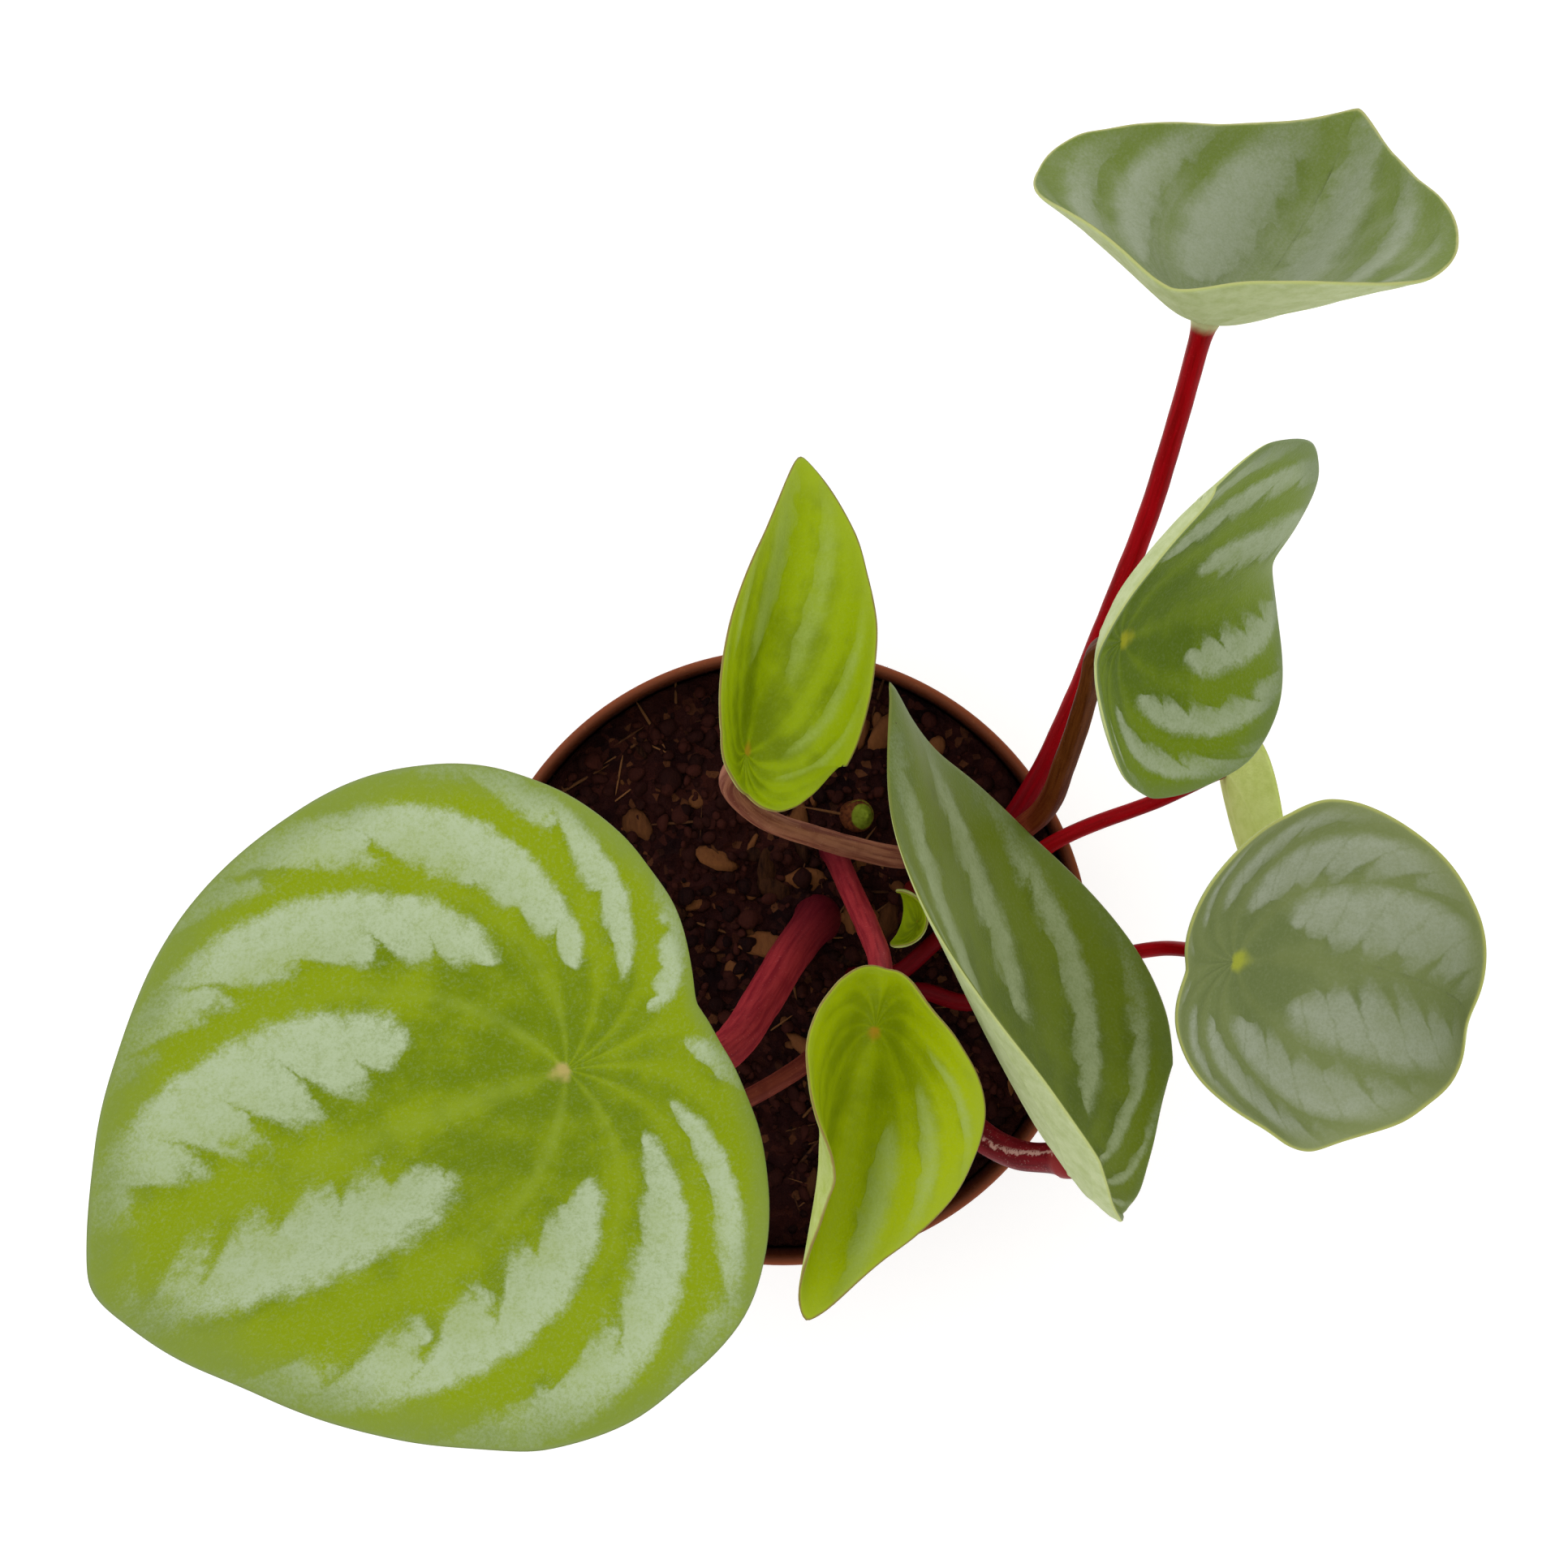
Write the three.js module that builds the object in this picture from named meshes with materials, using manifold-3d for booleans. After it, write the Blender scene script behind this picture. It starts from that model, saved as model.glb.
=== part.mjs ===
// A young watermelon peperomia in a small nursery pot.
// Millimetres, +Z up. The origin is the centre of the pot's base, on the surface it stands on.
import * as THREE from "three";
import { mergeVertices } from "three/addons/utils/BufferGeometryUtils.js";
import Module from "manifold-3d";

const wasm = await Module();
wasm.setup();

const DEGREE = Math.PI / 180;
const GAP = 0.3; // kept between pieces that touch
const HOLE_GAP = 0.5; // kept around a stalk in its hole

// The pot: a thin tapered wall, a wider collar with a rolled lip, and a floor raised
// between its foot ring and its centre pad, with drain holes.
const POT = {
  height: 72,
  rimRadius: 42.5,
  lip: 1.2,
  wall: 0.9,
  collarHeight: 14,
  collarTaper: 0.8,
  step: 3,
  footRadius: 29,
  footRing: 5,
  recess: 2,
  centrePad: 7,
  chamfer: 0.8,
  drainHoles: 6,
  drainRadius: 3,
  drainCircle: 15.5,
  sides: 48,
};

// The soil fills the pot up to `level` and is lumpy on top.
const SOIL = { level: 64, lump: 0.8, rings: 7, sides: 48 };

// Each stalk stands this deep in a hole of its own in the soil.
const ROOT_DEPTH = 8;
// A stalk's facets, and how it flares under its blade: by which share of its radius, how soon.
const STALK = { sides: 8, stride: 6, flare: 0.5, flareLength: 2 };
// The space kept free for a blade where its stalk is cut: how far above it, how far below it,
// and out to which share of the way to the margin.
const CUT = { above: 4, below: GAP + 0.1, extent: 0.85 };

// Leaf outline: how egg-shaped its left and right half are unless the leaf has an `egg` of its
// own, and how wide the pointed tip and the base notch are.
const EGG_POWERS = [0.7, 0.7];
const POINT_SPREAD = 0.26;
const NOTCH_SPREAD = 0.35;
// How soon the fold along the midrib reaches its full slope, as a share of half the tip length.
const FOLD_SPREAD = 0.12;
// Blade thickness as a share of the middle's, at the margin.
const MARGIN_THINNING = 0.7;

// The leaves. `at` is where the stalk meets the top of the blade. Lengths run from there:
// `tip`, `shoulder` (where the margin would be without its pointed tip) and `base`.
// `wide` scales the left and the right half. The angles are in degrees: `spine` is how far the
// midrib has risen by the tip, evenly and towards its end, and by the base; `fold` is the slope
// of both halves beside the midrib, how much more by the tip, and the share lost by the base;
// `left` and `right` are the curl of each half by its edge: evenly, how much more by the tip,
// and towards the edge only. `stalk.via` starts where the stalk leaves the soil.
const LEAVES = [
  {
    name: "leaf_big",
    at: [-26.6, -11, 140],
    heading: 200,
    pitch: -1,
    roll: -25,
    tip: 63.5,
    shoulder: 56.5,
    base: 19,
    wide: [1.12, 0.99],
    egg: [0.81, 0.7],
    spine: [-7, 41, -27],
    fold: [-10, 0, 0.5],
    left: [1, 4, 28],
    right: [0, 17, 2],
    twist: -13,
    notch: 0.03,
    skew: 0,
    thick: 1.2,
    mesh: { rays: 36, rings: 7 },
    blade: "matureLeaf",
    stalk: {
      via: [[4.5, 4.8, 66], [0.8, 0.2, 75], [-2.6, -5, 85], [-7, -10.6, 100], [-14, -13.2, 118]],
      radius: [2.9, 2.3],
      color: "redStalk",
    },
  },
  {
    name: "leaf_young_top",
    at: [-4.7, 27.9, 112],
    heading: 81,
    pitch: -14.6,
    roll: 51.3,
    tip: 41.3,
    shoulder: 27.7,
    base: 6.2,
    wide: [0.79, 0.71],
    egg: [1.38, 0.71],
    spine: [51.2, -71.6, 27.9],
    fold: [29.9, 5, 0.4],
    left: [-1, 7.4, -29],
    right: [89.2, -11.4, -5.1],
    twist: -25.6,
    notch: 0.06,
    skew: -0.033,
    thick: 1,
    mesh: { rays: 28, rings: 6 },
    blade: "youngLeaf",
    stalk: {
      via: [[19.5, 14.8, 66], [16, 13.9, 76], [3.8, 17, 92], [-3.5, 20, 101], [-7, 24, 106]],
      radius: [1.7, 1.35],
      color: "brownStalk",
    },
  },
  {
    name: "leaf_young_low",
    at: [11.6, -7.1, 122],
    heading: 260,
    pitch: -29,
    roll: 6,
    tip: 40,
    shoulder: 30,
    base: 10,
    wide: [0.77, 0.85],
    spine: [52, 21, 1],
    fold: [63, 8, 0.06],
    left: [-67, -24, -3],
    right: [32, 18, 4],
    twist: -21,
    notch: 0.04,
    skew: -0.01,
    thick: 1,
    mesh: { rays: 28, rings: 6 },
    blade: "youngLeaf",
    stalk: {
      via: [[7.1, 14.4, 66], [8.9, 10.1, 76], [11.2, 5, 90], [12.7, 0.2, 104]],
      radius: [1.7, 1.5],
      color: "redStalk",
    },
  },
  {
    name: "leaf_folded",
    at: [36.9, -24.1, 110],
    heading: 123.6,
    pitch: 0.6,
    roll: 78.8,
    tip: 65.8,
    shoulder: 53.2,
    base: 10.6,
    wide: [0.86, 0.97],
    egg: [1.37, 1.11],
    spine: [54, -41, 14],
    fold: [7, -26, 0.15],
    left: [28, -21, 17],
    right: [58, -18, -8],
    twist: -4,
    notch: 0.015,
    skew: -0.035,
    thick: 1.2,
    mesh: { rays: 32, rings: 6 },
    blade: "matureLeaf",
    stalk: {
      via: [[16.5, -12.5, 66], [18.5, -15, 78], [21.5, -18, 87], [25.8, -22.3, 96], [30.5, -24.5, 103]],
      radius: [2.3, 1.9],
      color: "redStalk",
    },
  },
  {
    name: "leaf_right_high",
    at: [42.5, 41.8, 128],
    heading: 25,
    pitch: -45,
    roll: 36,
    tip: 39,
    shoulder: 35.5,
    base: 11,
    wide: [1.03, 0.79],
    spine: [49, -87, 32],
    fold: [10, 14, 0.05],
    left: [30, -55, -4],
    right: [16, 7, 3],
    twist: 11,
    notch: 0.13,
    skew: 0,
    thick: 1.2,
    mesh: { rays: 32, rings: 6 },
    blade: "matureLeaf",
    stalk: {
      via: [
        [19, 9, 66],
        [23.5, 12.5, 73.5],
        [34.6, 19.8, 84],
        [37.7, 27.8, 95],
        [39.7, 36.6, 108],
        [40, 40.6, 119],
      ],
      radius: [1.7, 1.45],
      color: "brownStalk",
    },
  },
  {
    name: "leaf_right_low",
    at: [59.9, 0.4, 96],
    heading: 4,
    pitch: -35,
    roll: 20,
    tip: 39.5,
    shoulder: 34,
    base: 10.5,
    wide: [0.95, 0.95],
    spine: [80, 53, 0],
    fold: [-7, -14, 0],
    left: [37, -3, 0],
    right: [61, -45, 0],
    twist: -9,
    notch: 0.06,
    skew: -0.05,
    thick: 1.1,
    mesh: { rays: 28, rings: 6 },
    blade: "matureLeaf",
    stalk: {
      via: [[14, -7, 66], [18.4, -4.8, 68.5], [25.8, -6.3, 70.5], [37.2, -2.1, 73.8], [50.9, 1.5, 80]],
      radius: [1.3, 0.95],
      color: "redStalk",
    },
  },
  {
    name: "leaf_far",
    at: [55.2, 84.9, 104],
    heading: 10,
    pitch: -65,
    roll: -63,
    tip: 52.5,
    shoulder: 43,
    base: 17,
    wide: [0.93, 0.93],
    spine: [81, -6, 0],
    fold: [28, 10, 0],
    left: [-5, 34, 0],
    right: [-1, 13, 0],
    twist: -4,
    notch: 0,
    skew: -0.01,
    thick: 1.2,
    mesh: { rays: 32, rings: 6 },
    blade: "matureLeaf",
    stalk: {
      via: [
        [24, 10.5, 65],
        [28.6, 15, 69],
        [34.5, 24, 75.5],
        [39.8, 35.6, 80],
        [43.9, 46.3, 83.5],
        [49, 60, 88],
        [52, 71, 94],
      ],
      radius: [1.6, 1.4],
      color: "redStalk",
    },
  },
  {
    name: "leaf_shaded",
    at: [60.8, 26.2, 78],
    heading: 279,
    pitch: 0,
    roll: -105,
    tip: 24,
    shoulder: 20,
    base: 8,
    wide: [0.62, 0.62],
    spine: [20, 0, 0],
    fold: [10, 0, 0.5],
    left: [20, 0, 0],
    right: [20, 0, 0],
    twist: 0,
    notch: 0.05,
    skew: 0,
    thick: 1,
    mesh: { rays: 24, rings: 5 },
    blade: "matureLeaf",
    stalk: {
      via: [[10.5, -3, 66], [15.5, -2.5, 68], [21.4, 2.5, 70.5], [36.8, 15.7, 75], [52, 22, 77]],
      radius: [1.3, 1],
      color: "redStalk",
    },
  },
  {
    name: "leaf_under",
    at: [-15.7, -23, 92],
    heading: 200,
    pitch: 10,
    roll: -8,
    tip: 24,
    shoulder: 20,
    base: 8,
    wide: [0.9, 0.9],
    spine: [-30, -10, 0],
    fold: [12, 0, 0.5],
    left: [-20, 0, 0],
    right: [-20, 0, 0],
    twist: 0,
    notch: 0.05,
    skew: 0,
    thick: 1,
    mesh: { rays: 24, rings: 5 },
    blade: "matureLeaf",
    stalk: {
      via: [[8.5, -9.4, 66], [3.3, -14.1, 76], [-4.5, -18.4, 84]],
      radius: [1.5, 1.2],
      color: "redStalk",
    },
  },
  {
    name: "leaf_curled",
    at: [18.4, 5, 73],
    heading: 80,
    pitch: 0,
    roll: -60,
    tip: 6.2,
    shoulder: 5,
    base: 5.5,
    wide: [0.6, 0.6],
    spine: [85, 30, 0],
    fold: [10, 0, 0],
    left: [10, 0, 0],
    right: [10, 0, 0],
    twist: 0,
    notch: 0.05,
    skew: 0,
    thick: 0.9,
    mesh: { rays: 16, rings: 4 },
    blade: "youngLeaf",
    stalk: {
      via: [[19.8, 5.3, 66], [19.9, 5.4, 70]],
      radius: [1, 0.8],
      color: "redStalk",
    },
  },
];

// Distance from the stalk to the margin, in the direction `angle` away from the tip.
function reach(leaf, angle) {
  const forward = (1 + Math.cos(angle)) / 2;
  const power = (leaf.egg ?? EGG_POWERS)[angle > 0 ? 0 : 1];
  const egg = leaf.base + (leaf.shoulder - leaf.base) * forward ** power;
  const point = (leaf.tip - leaf.shoulder) * Math.exp(-Math.abs(angle) / POINT_SPREAD);
  const behind = (Math.PI - Math.abs(angle)) / NOTCH_SPREAD;
  const notch = leaf.notch * leaf.base * Math.exp(-(behind ** 2));
  return (egg + point - notch) * (1 + leaf.skew * Math.sin(2 * angle));
}

// Walks `distance` along a curve with the given slope, and says how far it gets on and up.
function walk(slopeAt, distance, strides = 12) {
  const stride = distance / strides;
  let on = 0;
  let up = 0;
  for (let i = 0; i < strides; i += 1) {
    const slope = slopeAt((i + 0.5) * stride) * DEGREE;
    on += Math.cos(slope) * stride;
    up += Math.sin(slope) * stride;
  }
  return [on, up];
}

// Bends a point of the flat blade, `along` the midrib and `across` it, into the leaf's own frame.
function bent(leaf, along, across) {
  const { tip, base, spine, fold, left, right } = leaf;
  const slopeOfSpine = (d) => {
    const out = d / tip;
    return spine[0] * out + spine[1] * out * Math.abs(out) - spine[2] * Math.max(-d / base, 0);
  };
  const [x, rise] = walk(slopeOfSpine, along);
  const share = along / tip;
  const fade = 1 - fold[2] * THREE.MathUtils.smoothstep(-along / base, 0, 1);
  const crease = (fold[0] + fold[1] * Math.max(share, 0)) * fade;
  const curl = across > 0 ? left : right;
  const slopeOfHalf = (d) => {
    const out = d / (tip / 2);
    const curled = (curl[0] + curl[1] * share) * out + curl[2] * out ** 2;
    return crease * Math.tanh(out / FOLD_SPREAD) + curled;
  };
  const [side, lift] = walk(slopeOfHalf, Math.abs(across));
  const y = Math.sign(across) * side;
  const twist = leaf.twist * share * DEGREE;
  const sideways = y * Math.cos(twist) - lift * Math.sin(twist);
  const upwards = y * Math.sin(twist) + lift * Math.cos(twist);
  const lean = slopeOfSpine(along) * DEGREE;
  return new THREE.Vector3(
    x - Math.sin(lean) * upwards,
    sideways,
    rise + Math.cos(lean) * upwards,
  );
}

// A point of the blade's top, `share` of the way out in direction `angle`, moved `depth` below it.
function bladePoint(leaf, angle, share, depth = 0) {
  const far = reach(leaf, angle) * share;
  const along = far * Math.cos(angle);
  const across = far * Math.sin(angle) * (angle > 0 ? leaf.wide[0] : leaf.wide[1]);
  const here = bent(leaf, along, across);
  const small = 0.01;
  const alongwards = bent(leaf, along + small, across).sub(bent(leaf, along - small, across));
  const acrosswards = bent(leaf, along, across + small).sub(bent(leaf, along, across - small));
  const up = alongwards.cross(acrosswards).normalize();
  return here.addScaledVector(up, -depth);
}

// A closed skin from rings of points. Each ring has the same count and runs anticlockwise as seen
// from the last ring, and the ends are closed with a fan about `first` and `last`.
function skin(first, rings, last) {
  const count = rings[0].length;
  const points = [first, ...rings.flat(), last];
  const end = points.length - 1;
  const at = (ring, i) => 1 + ring * count + (i % count);
  const faces = [];
  for (let i = 0; i < count; i += 1) {
    faces.push(0, at(0, i + 1), at(0, i));
    for (let ring = 0; ring + 1 < rings.length; ring += 1) {
      faces.push(at(ring, i), at(ring, i + 1), at(ring + 1, i));
      faces.push(at(ring, i + 1), at(ring + 1, i + 1), at(ring + 1, i));
    }
    faces.push(end, at(rings.length - 1, i), at(rings.length - 1, i + 1));
  }
  const geometry = new THREE.BufferGeometry().setFromPoints(points);
  geometry.setIndex(faces);
  return geometry;
}

// A blade between two depths below its top, out to `extent` of the way to the margin.
function bladeGeometry(leaf, topDepth, undersideDepth, extent = 1) {
  const { rays, rings } = leaf.mesh;
  const angles = [];
  for (let i = 0; i < rays; i += 1) {
    const u = (2 * i) / rays - 1;
    angles.push(Math.PI * u * (0.6 + 0.4 * u * u)); // closer together near the tip
  }
  const shares = [];
  for (let i = 1; i <= rings; i += 1) {
    shares.push((extent * i) / rings);
  }
  const ringAt = (share, depthAt) => angles.map((angle) => bladePoint(leaf, angle, share, depthAt(share)));
  const underside = shares.map((share) => ringAt(share, undersideDepth));
  const top = shares.map((share) => ringAt(share, topDepth)).reverse();
  const undersideMiddle = bladePoint(leaf, 0, 0, undersideDepth(0));
  const topMiddle = bladePoint(leaf, 0, 0, topDepth(0));
  return skin(undersideMiddle, [...underside, ...top], topMiddle);
}

// Moves a leaf's own frame to its place: rolled about the midrib, pitched up, and then turned
// to its heading.
function settle(object, leaf) {
  object.rotation.set(leaf.roll * DEGREE, -leaf.pitch * DEGREE, leaf.heading * DEGREE, "ZYX");
  object.position.set(...leaf.at);
  object.updateMatrix();
  return object;
}

// A tube along a smooth curve, with the radius that `radiusAt` gives for the share of the way.
function tubeGeometry(points, radiusAt, sides, steps) {
  const curve = new THREE.CatmullRomCurve3(points);
  const { normals, binormals } = curve.computeFrenetFrames(steps, false);
  const rings = [];
  for (let step = 0; step <= steps; step += 1) {
    const centre = curve.getPointAt(step / steps);
    const radius = radiusAt(step / steps);
    const ring = [];
    for (let side = 0; side < sides; side += 1) {
      const angle = (2 * Math.PI * side) / sides;
      ring.push(
        centre
          .clone()
          .addScaledVector(normals[step], radius * Math.cos(angle))
          .addScaledVector(binormals[step], radius * Math.sin(angle)),
      );
    }
    rings.push(ring);
  }
  return skin(points[0], rings, points.at(-1));
}

// A closed mesh as a solid for cutting, and back.
function toSolid(geometry) {
  const bare = geometry.clone();
  bare.deleteAttribute("normal");
  bare.deleteAttribute("uv");
  const merged = mergeVertices(bare, 1e-4);
  return new wasm.Manifold(
    new wasm.Mesh({
      numProp: 3,
      vertProperties: merged.attributes.position.array,
      triVerts: new Uint32Array(merged.index.array),
    }),
  );
}

function toGeometry(solid) {
  const { vertProperties, triVerts } = solid.getMesh();
  const geometry = new THREE.BufferGeometry();
  geometry.setAttribute("position", new THREE.BufferAttribute(vertProperties, 3));
  geometry.setIndex(new THREE.BufferAttribute(triVerts, 1));
  return geometry;
}

function piece(name, geometry, material) {
  const mesh = new THREE.Mesh(geometry, material);
  mesh.name = name;
  if (!geometry.attributes.normal) {
    geometry.computeVertexNormals();
  }
  return mesh;
}

function material(color, roughness) {
  return new THREE.MeshStandardMaterial({ color, roughness, metalness: 0 });
}
const MATERIALS = {
  pot: material(0x8a4a2b, 0.5),
  soil: material(0x1e1410, 0.95),
  matureLeaf: material(0x6f8f3a, 0.45),
  youngLeaf: material(0x9bb428, 0.4),
  redStalk: material(0x8a1420, 0.4),
  brownStalk: material(0x6e4a34, 0.5),
  bud: material(0x7c5a3a, 0.6),
};

const floorTop = POT.recess + POT.wall;
const collarFoot = { z: POT.height - POT.collarHeight, radius: POT.rimRadius - POT.collarTaper };
const wallTopRadius = collarFoot.radius - POT.step;

// The pot's inner wall, from the floor up to the lip, as radius and height.
const potInside = [
  new THREE.Vector2(POT.footRadius - POT.wall + 0.1, floorTop),
  new THREE.Vector2(wallTopRadius - POT.wall, collarFoot.z + POT.wall / 2),
  new THREE.Vector2(collarFoot.radius - POT.wall, collarFoot.z + 1.6),
  new THREE.Vector2(POT.rimRadius - POT.lip / 2 - POT.wall, POT.height - POT.lip),
];

function makePot() {
  const { rimRadius, height, lip, footRadius, footRing, recess, centrePad, chamfer } = POT;
  const outline = [
    [0, 0],
    [centrePad, 0],
    [centrePad + chamfer, recess],
    [footRadius - footRing - chamfer, recess],
    [footRadius - footRing, 0],
    [footRadius - chamfer, 0],
    [footRadius, chamfer],
    [wallTopRadius, collarFoot.z - 0.4],
    [collarFoot.radius, collarFoot.z + 0.8],
    [rimRadius - lip / 3, height - lip * 1.3],
    [rimRadius, height - lip * 0.8],
    [rimRadius, height - lip * 0.3],
    [rimRadius - lip * 0.3, height],
    [rimRadius - lip * 0.8, height],
    [rimRadius - lip * 1.1, height - lip * 0.3],
    ...potInside.toReversed().map((p) => [p.x, p.y]),
    [0, floorTop],
  ];
  const shell = new THREE.LatheGeometry(outline.map(([r, z]) => new THREE.Vector2(r, z)), POT.sides);
  shell.rotateX(Math.PI / 2);
  let pot = toSolid(shell);
  for (let i = 0; i < POT.drainHoles; i += 1) {
    const hole = new THREE.CylinderGeometry(POT.drainRadius, POT.drainRadius, 3 * floorTop, 16);
    hole.rotateX(Math.PI / 2);
    hole.translate(POT.drainCircle, 0, 0);
    hole.rotateZ((2 * Math.PI * i) / POT.drainHoles);
    pot = pot.subtract(toSolid(hole));
  }
  return piece("pot", toGeometry(pot), MATERIALS.pot);
}

// Height of the soil's lumpy top at a place, calm at the pot's wall.
function soilHeight(x, y, radius) {
  const calm = 1 - (Math.hypot(x, y) / radius) ** 4;
  const broad = Math.sin(0.21 * x + 0.9) * Math.cos(0.17 * y - 0.4);
  const lumps = Math.sin(0.55 * x - 0.31 * y) * Math.sin(0.47 * y + 0.23 * x + 1.1);
  return SOIL.level + SOIL.lump * calm * (broad + 0.8 * lumps);
}

function makeSoil(holes) {
  const ringAt = (radius, heightAt) => {
    const ring = [];
    for (let i = 0; i < SOIL.sides; i += 1) {
      const angle = (2 * Math.PI * i) / SOIL.sides;
      const [x, y] = [radius * Math.cos(angle), radius * Math.sin(angle)];
      ring.push(new THREE.Vector3(x, y, heightAt(x, y)));
    }
    return ring;
  };
  const side = potInside.slice(0, 3).map((p) => new THREE.Vector2(p.x - GAP, p.y + GAP));
  const lip = potInside[3];
  const climb = (SOIL.level - side[2].y) / (lip.y - potInside[2].y);
  const radius = side[2].x + climb * (lip.x - potInside[2].x);
  const top = (x, y) => soilHeight(x, y, radius);
  const rings = side.map((p) => ringAt(p.x, () => p.y));
  for (let i = SOIL.rings; i > 0; i -= 1) {
    rings.push(ringAt((radius * i) / SOIL.rings, top));
  }
  const floor = new THREE.Vector3(0, 0, side[0].y);
  let soil = toSolid(skin(floor, rings, new THREE.Vector3(0, 0, top(0, 0))));
  for (const hole of holes) {
    soil = soil.subtract(hole);
  }
  return piece("soil", toGeometry(soil), MATERIALS.soil);
}

// How thick a blade is, by the share of the way out to its margin.
const thickness = (leaf) => (share) => leaf.thick * (1 - (1 - MARGIN_THINNING) * share ** 2);

function makeBlade(leaf) {
  const blade = bladeGeometry(leaf, () => 0, thickness(leaf));
  return settle(piece(`${leaf.name}_blade`, blade, MATERIALS[leaf.blade]), leaf);
}

// A stalk's points: straight up out of the soil, by way of `stalk.via`, to inside its blade.
function stalkPoints(leaf, deeper = 0) {
  const [first] = leaf.stalk.via;
  const foot = new THREE.Vector3(first[0], first[1], SOIL.level - ROOT_DEPTH - deeper);
  const end = settle(new THREE.Object3D(), leaf).localToWorld(bladePoint(leaf, 0, 0, leaf.thick / 2));
  return [foot, ...leaf.stalk.via.map((p) => new THREE.Vector3(...p)), end];
}

// A stalk tapers upwards and flares a little where it joins its blade.
function stalkGeometry(leaf, wider = 0, deeper = 0) {
  const points = stalkPoints(leaf, deeper);
  const [low, high] = leaf.stalk.radius;
  const length = new THREE.CatmullRomCurve3(points).getLength();
  const radiusAt = (share) => {
    const flare = STALK.flare * high * Math.exp((-length * (1 - share)) / STALK.flareLength);
    return low + (high - low) * share + flare + wider;
  };
  return tubeGeometry(points, radiusAt, STALK.sides, Math.round(length / STALK.stride));
}

// The stalk's top is cut to its blade's underside, a gap away.
function makeStalk(leaf) {
  const undersideDepth = (share) => thickness(leaf)(share) + CUT.below;
  const clearance = bladeGeometry(leaf, () => -CUT.above, undersideDepth, CUT.extent);
  clearance.applyMatrix4(settle(new THREE.Object3D(), leaf).matrix);
  const stalk = toSolid(stalkGeometry(leaf)).subtract(toSolid(clearance));
  return piece(`${leaf.name}_stalk`, toGeometry(stalk), MATERIALS[leaf.stalk.color]);
}

// The shoot's next growth: a pointed bud in its sheath, standing in the soil.
const BUD = { at: [10, 19.5], height: 7, radius: 2.2, lean: 14 };

function budGeometry(wider = 0) {
  const { height, radius } = BUD;
  const profile = [
    [0, -ROOT_DEPTH - wider],
    [radius * 0.8 + wider, -ROOT_DEPTH - wider],
    [radius + wider, 0],
    [radius * 1.05 + wider, height * 0.35],
    [radius * 0.8 + wider, height * 0.62],
    [radius * 0.38 + wider, height * 0.86],
    [0, height + wider],
  ];
  const bud = new THREE.LatheGeometry(profile.map(([r, z]) => new THREE.Vector2(r, z)), 12);
  bud.rotateX(Math.PI / 2);
  bud.rotateY(BUD.lean * DEGREE);
  bud.translate(BUD.at[0], BUD.at[1], SOIL.level);
  return bud;
}

const plant = new THREE.Group();
const stalkHoles = LEAVES.map((leaf) => stalkGeometry(leaf, HOLE_GAP, HOLE_GAP));
const holes = [...stalkHoles, budGeometry(HOLE_GAP)].map(toSolid);
plant.add(makePot(), makeSoil(holes));
for (const leaf of LEAVES) {
  plant.add(makeStalk(leaf), makeBlade(leaf));
}
plant.add(piece("shoot_bud", budGeometry(), MATERIALS.bud));

export default plant;
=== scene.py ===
# %% [markdown]
# # A potted watermelon peperomia
# A young peperomia has thick round leaves on red stalks that rise from one crown. Silver bands
# run between the veins of each leaf. It stands in a small brown nursery pot of dark soil. The
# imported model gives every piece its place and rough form. This script dresses each piece with a
# finer surface of the same form, and gives it a finish.

# %% Setup
import math

import bpy
import numpy as np
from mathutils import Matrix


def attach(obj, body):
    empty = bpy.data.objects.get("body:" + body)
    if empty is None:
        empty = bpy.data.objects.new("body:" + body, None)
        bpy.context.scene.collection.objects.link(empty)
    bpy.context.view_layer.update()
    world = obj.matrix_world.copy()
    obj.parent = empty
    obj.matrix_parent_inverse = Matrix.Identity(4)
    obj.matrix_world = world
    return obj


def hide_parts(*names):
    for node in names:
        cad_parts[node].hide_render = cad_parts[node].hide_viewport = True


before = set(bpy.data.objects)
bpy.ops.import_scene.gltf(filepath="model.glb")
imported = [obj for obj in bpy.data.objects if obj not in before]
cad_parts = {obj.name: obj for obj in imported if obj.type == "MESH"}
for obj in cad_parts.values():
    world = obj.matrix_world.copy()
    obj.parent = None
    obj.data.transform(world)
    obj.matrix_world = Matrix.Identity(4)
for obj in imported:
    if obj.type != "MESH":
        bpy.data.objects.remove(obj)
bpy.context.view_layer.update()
print("nodes in the frame:", len(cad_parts))

# %% [markdown]
# ## Driving values
# All shapes below are worked out in millimetres, the unit of the model's drawing, and are
# turned to metres once, as the mesh is made. The tables repeat the drawing's own values, so
# each fine surface lies where its solid is.

# %% Driving values
MM = 0.001

POT = dict(
    height=72.0, rim=42.5, lip=1.2, wall=0.9, collar_height=14.0, collar_taper=0.8, step=3.0,
    foot=29.0, foot_ring=5.0, recess=2.0, pad=7.0, chamfer=0.8,
    drain_holes=6, drain_radius=3.0, drain_circle=15.5,
)
SOIL_LEVEL = 64.0
SOIL_LUMP = 0.8
ROOT_DEPTH = 8.0
GAP = 0.3

POINT_SPREAD = 0.26
NOTCH_SPREAD = 0.35
FOLD_SPREAD = 0.12

# %% [markdown]
# ## The leaf table
# `at` is where the stalk meets the blade. `turn` is heading, pitch and roll in degrees. `size`
# is the length from there to the tip, to the shoulder and to the base. The other numbers bend
# the flat blade: its spine, the fold along the midrib, the curl of either half and the twist.
# `via` is the stalk's route out of the soil, and `radius` its radius at foot and top. A leaf
# takes the shared values for what its row leaves out.

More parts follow.
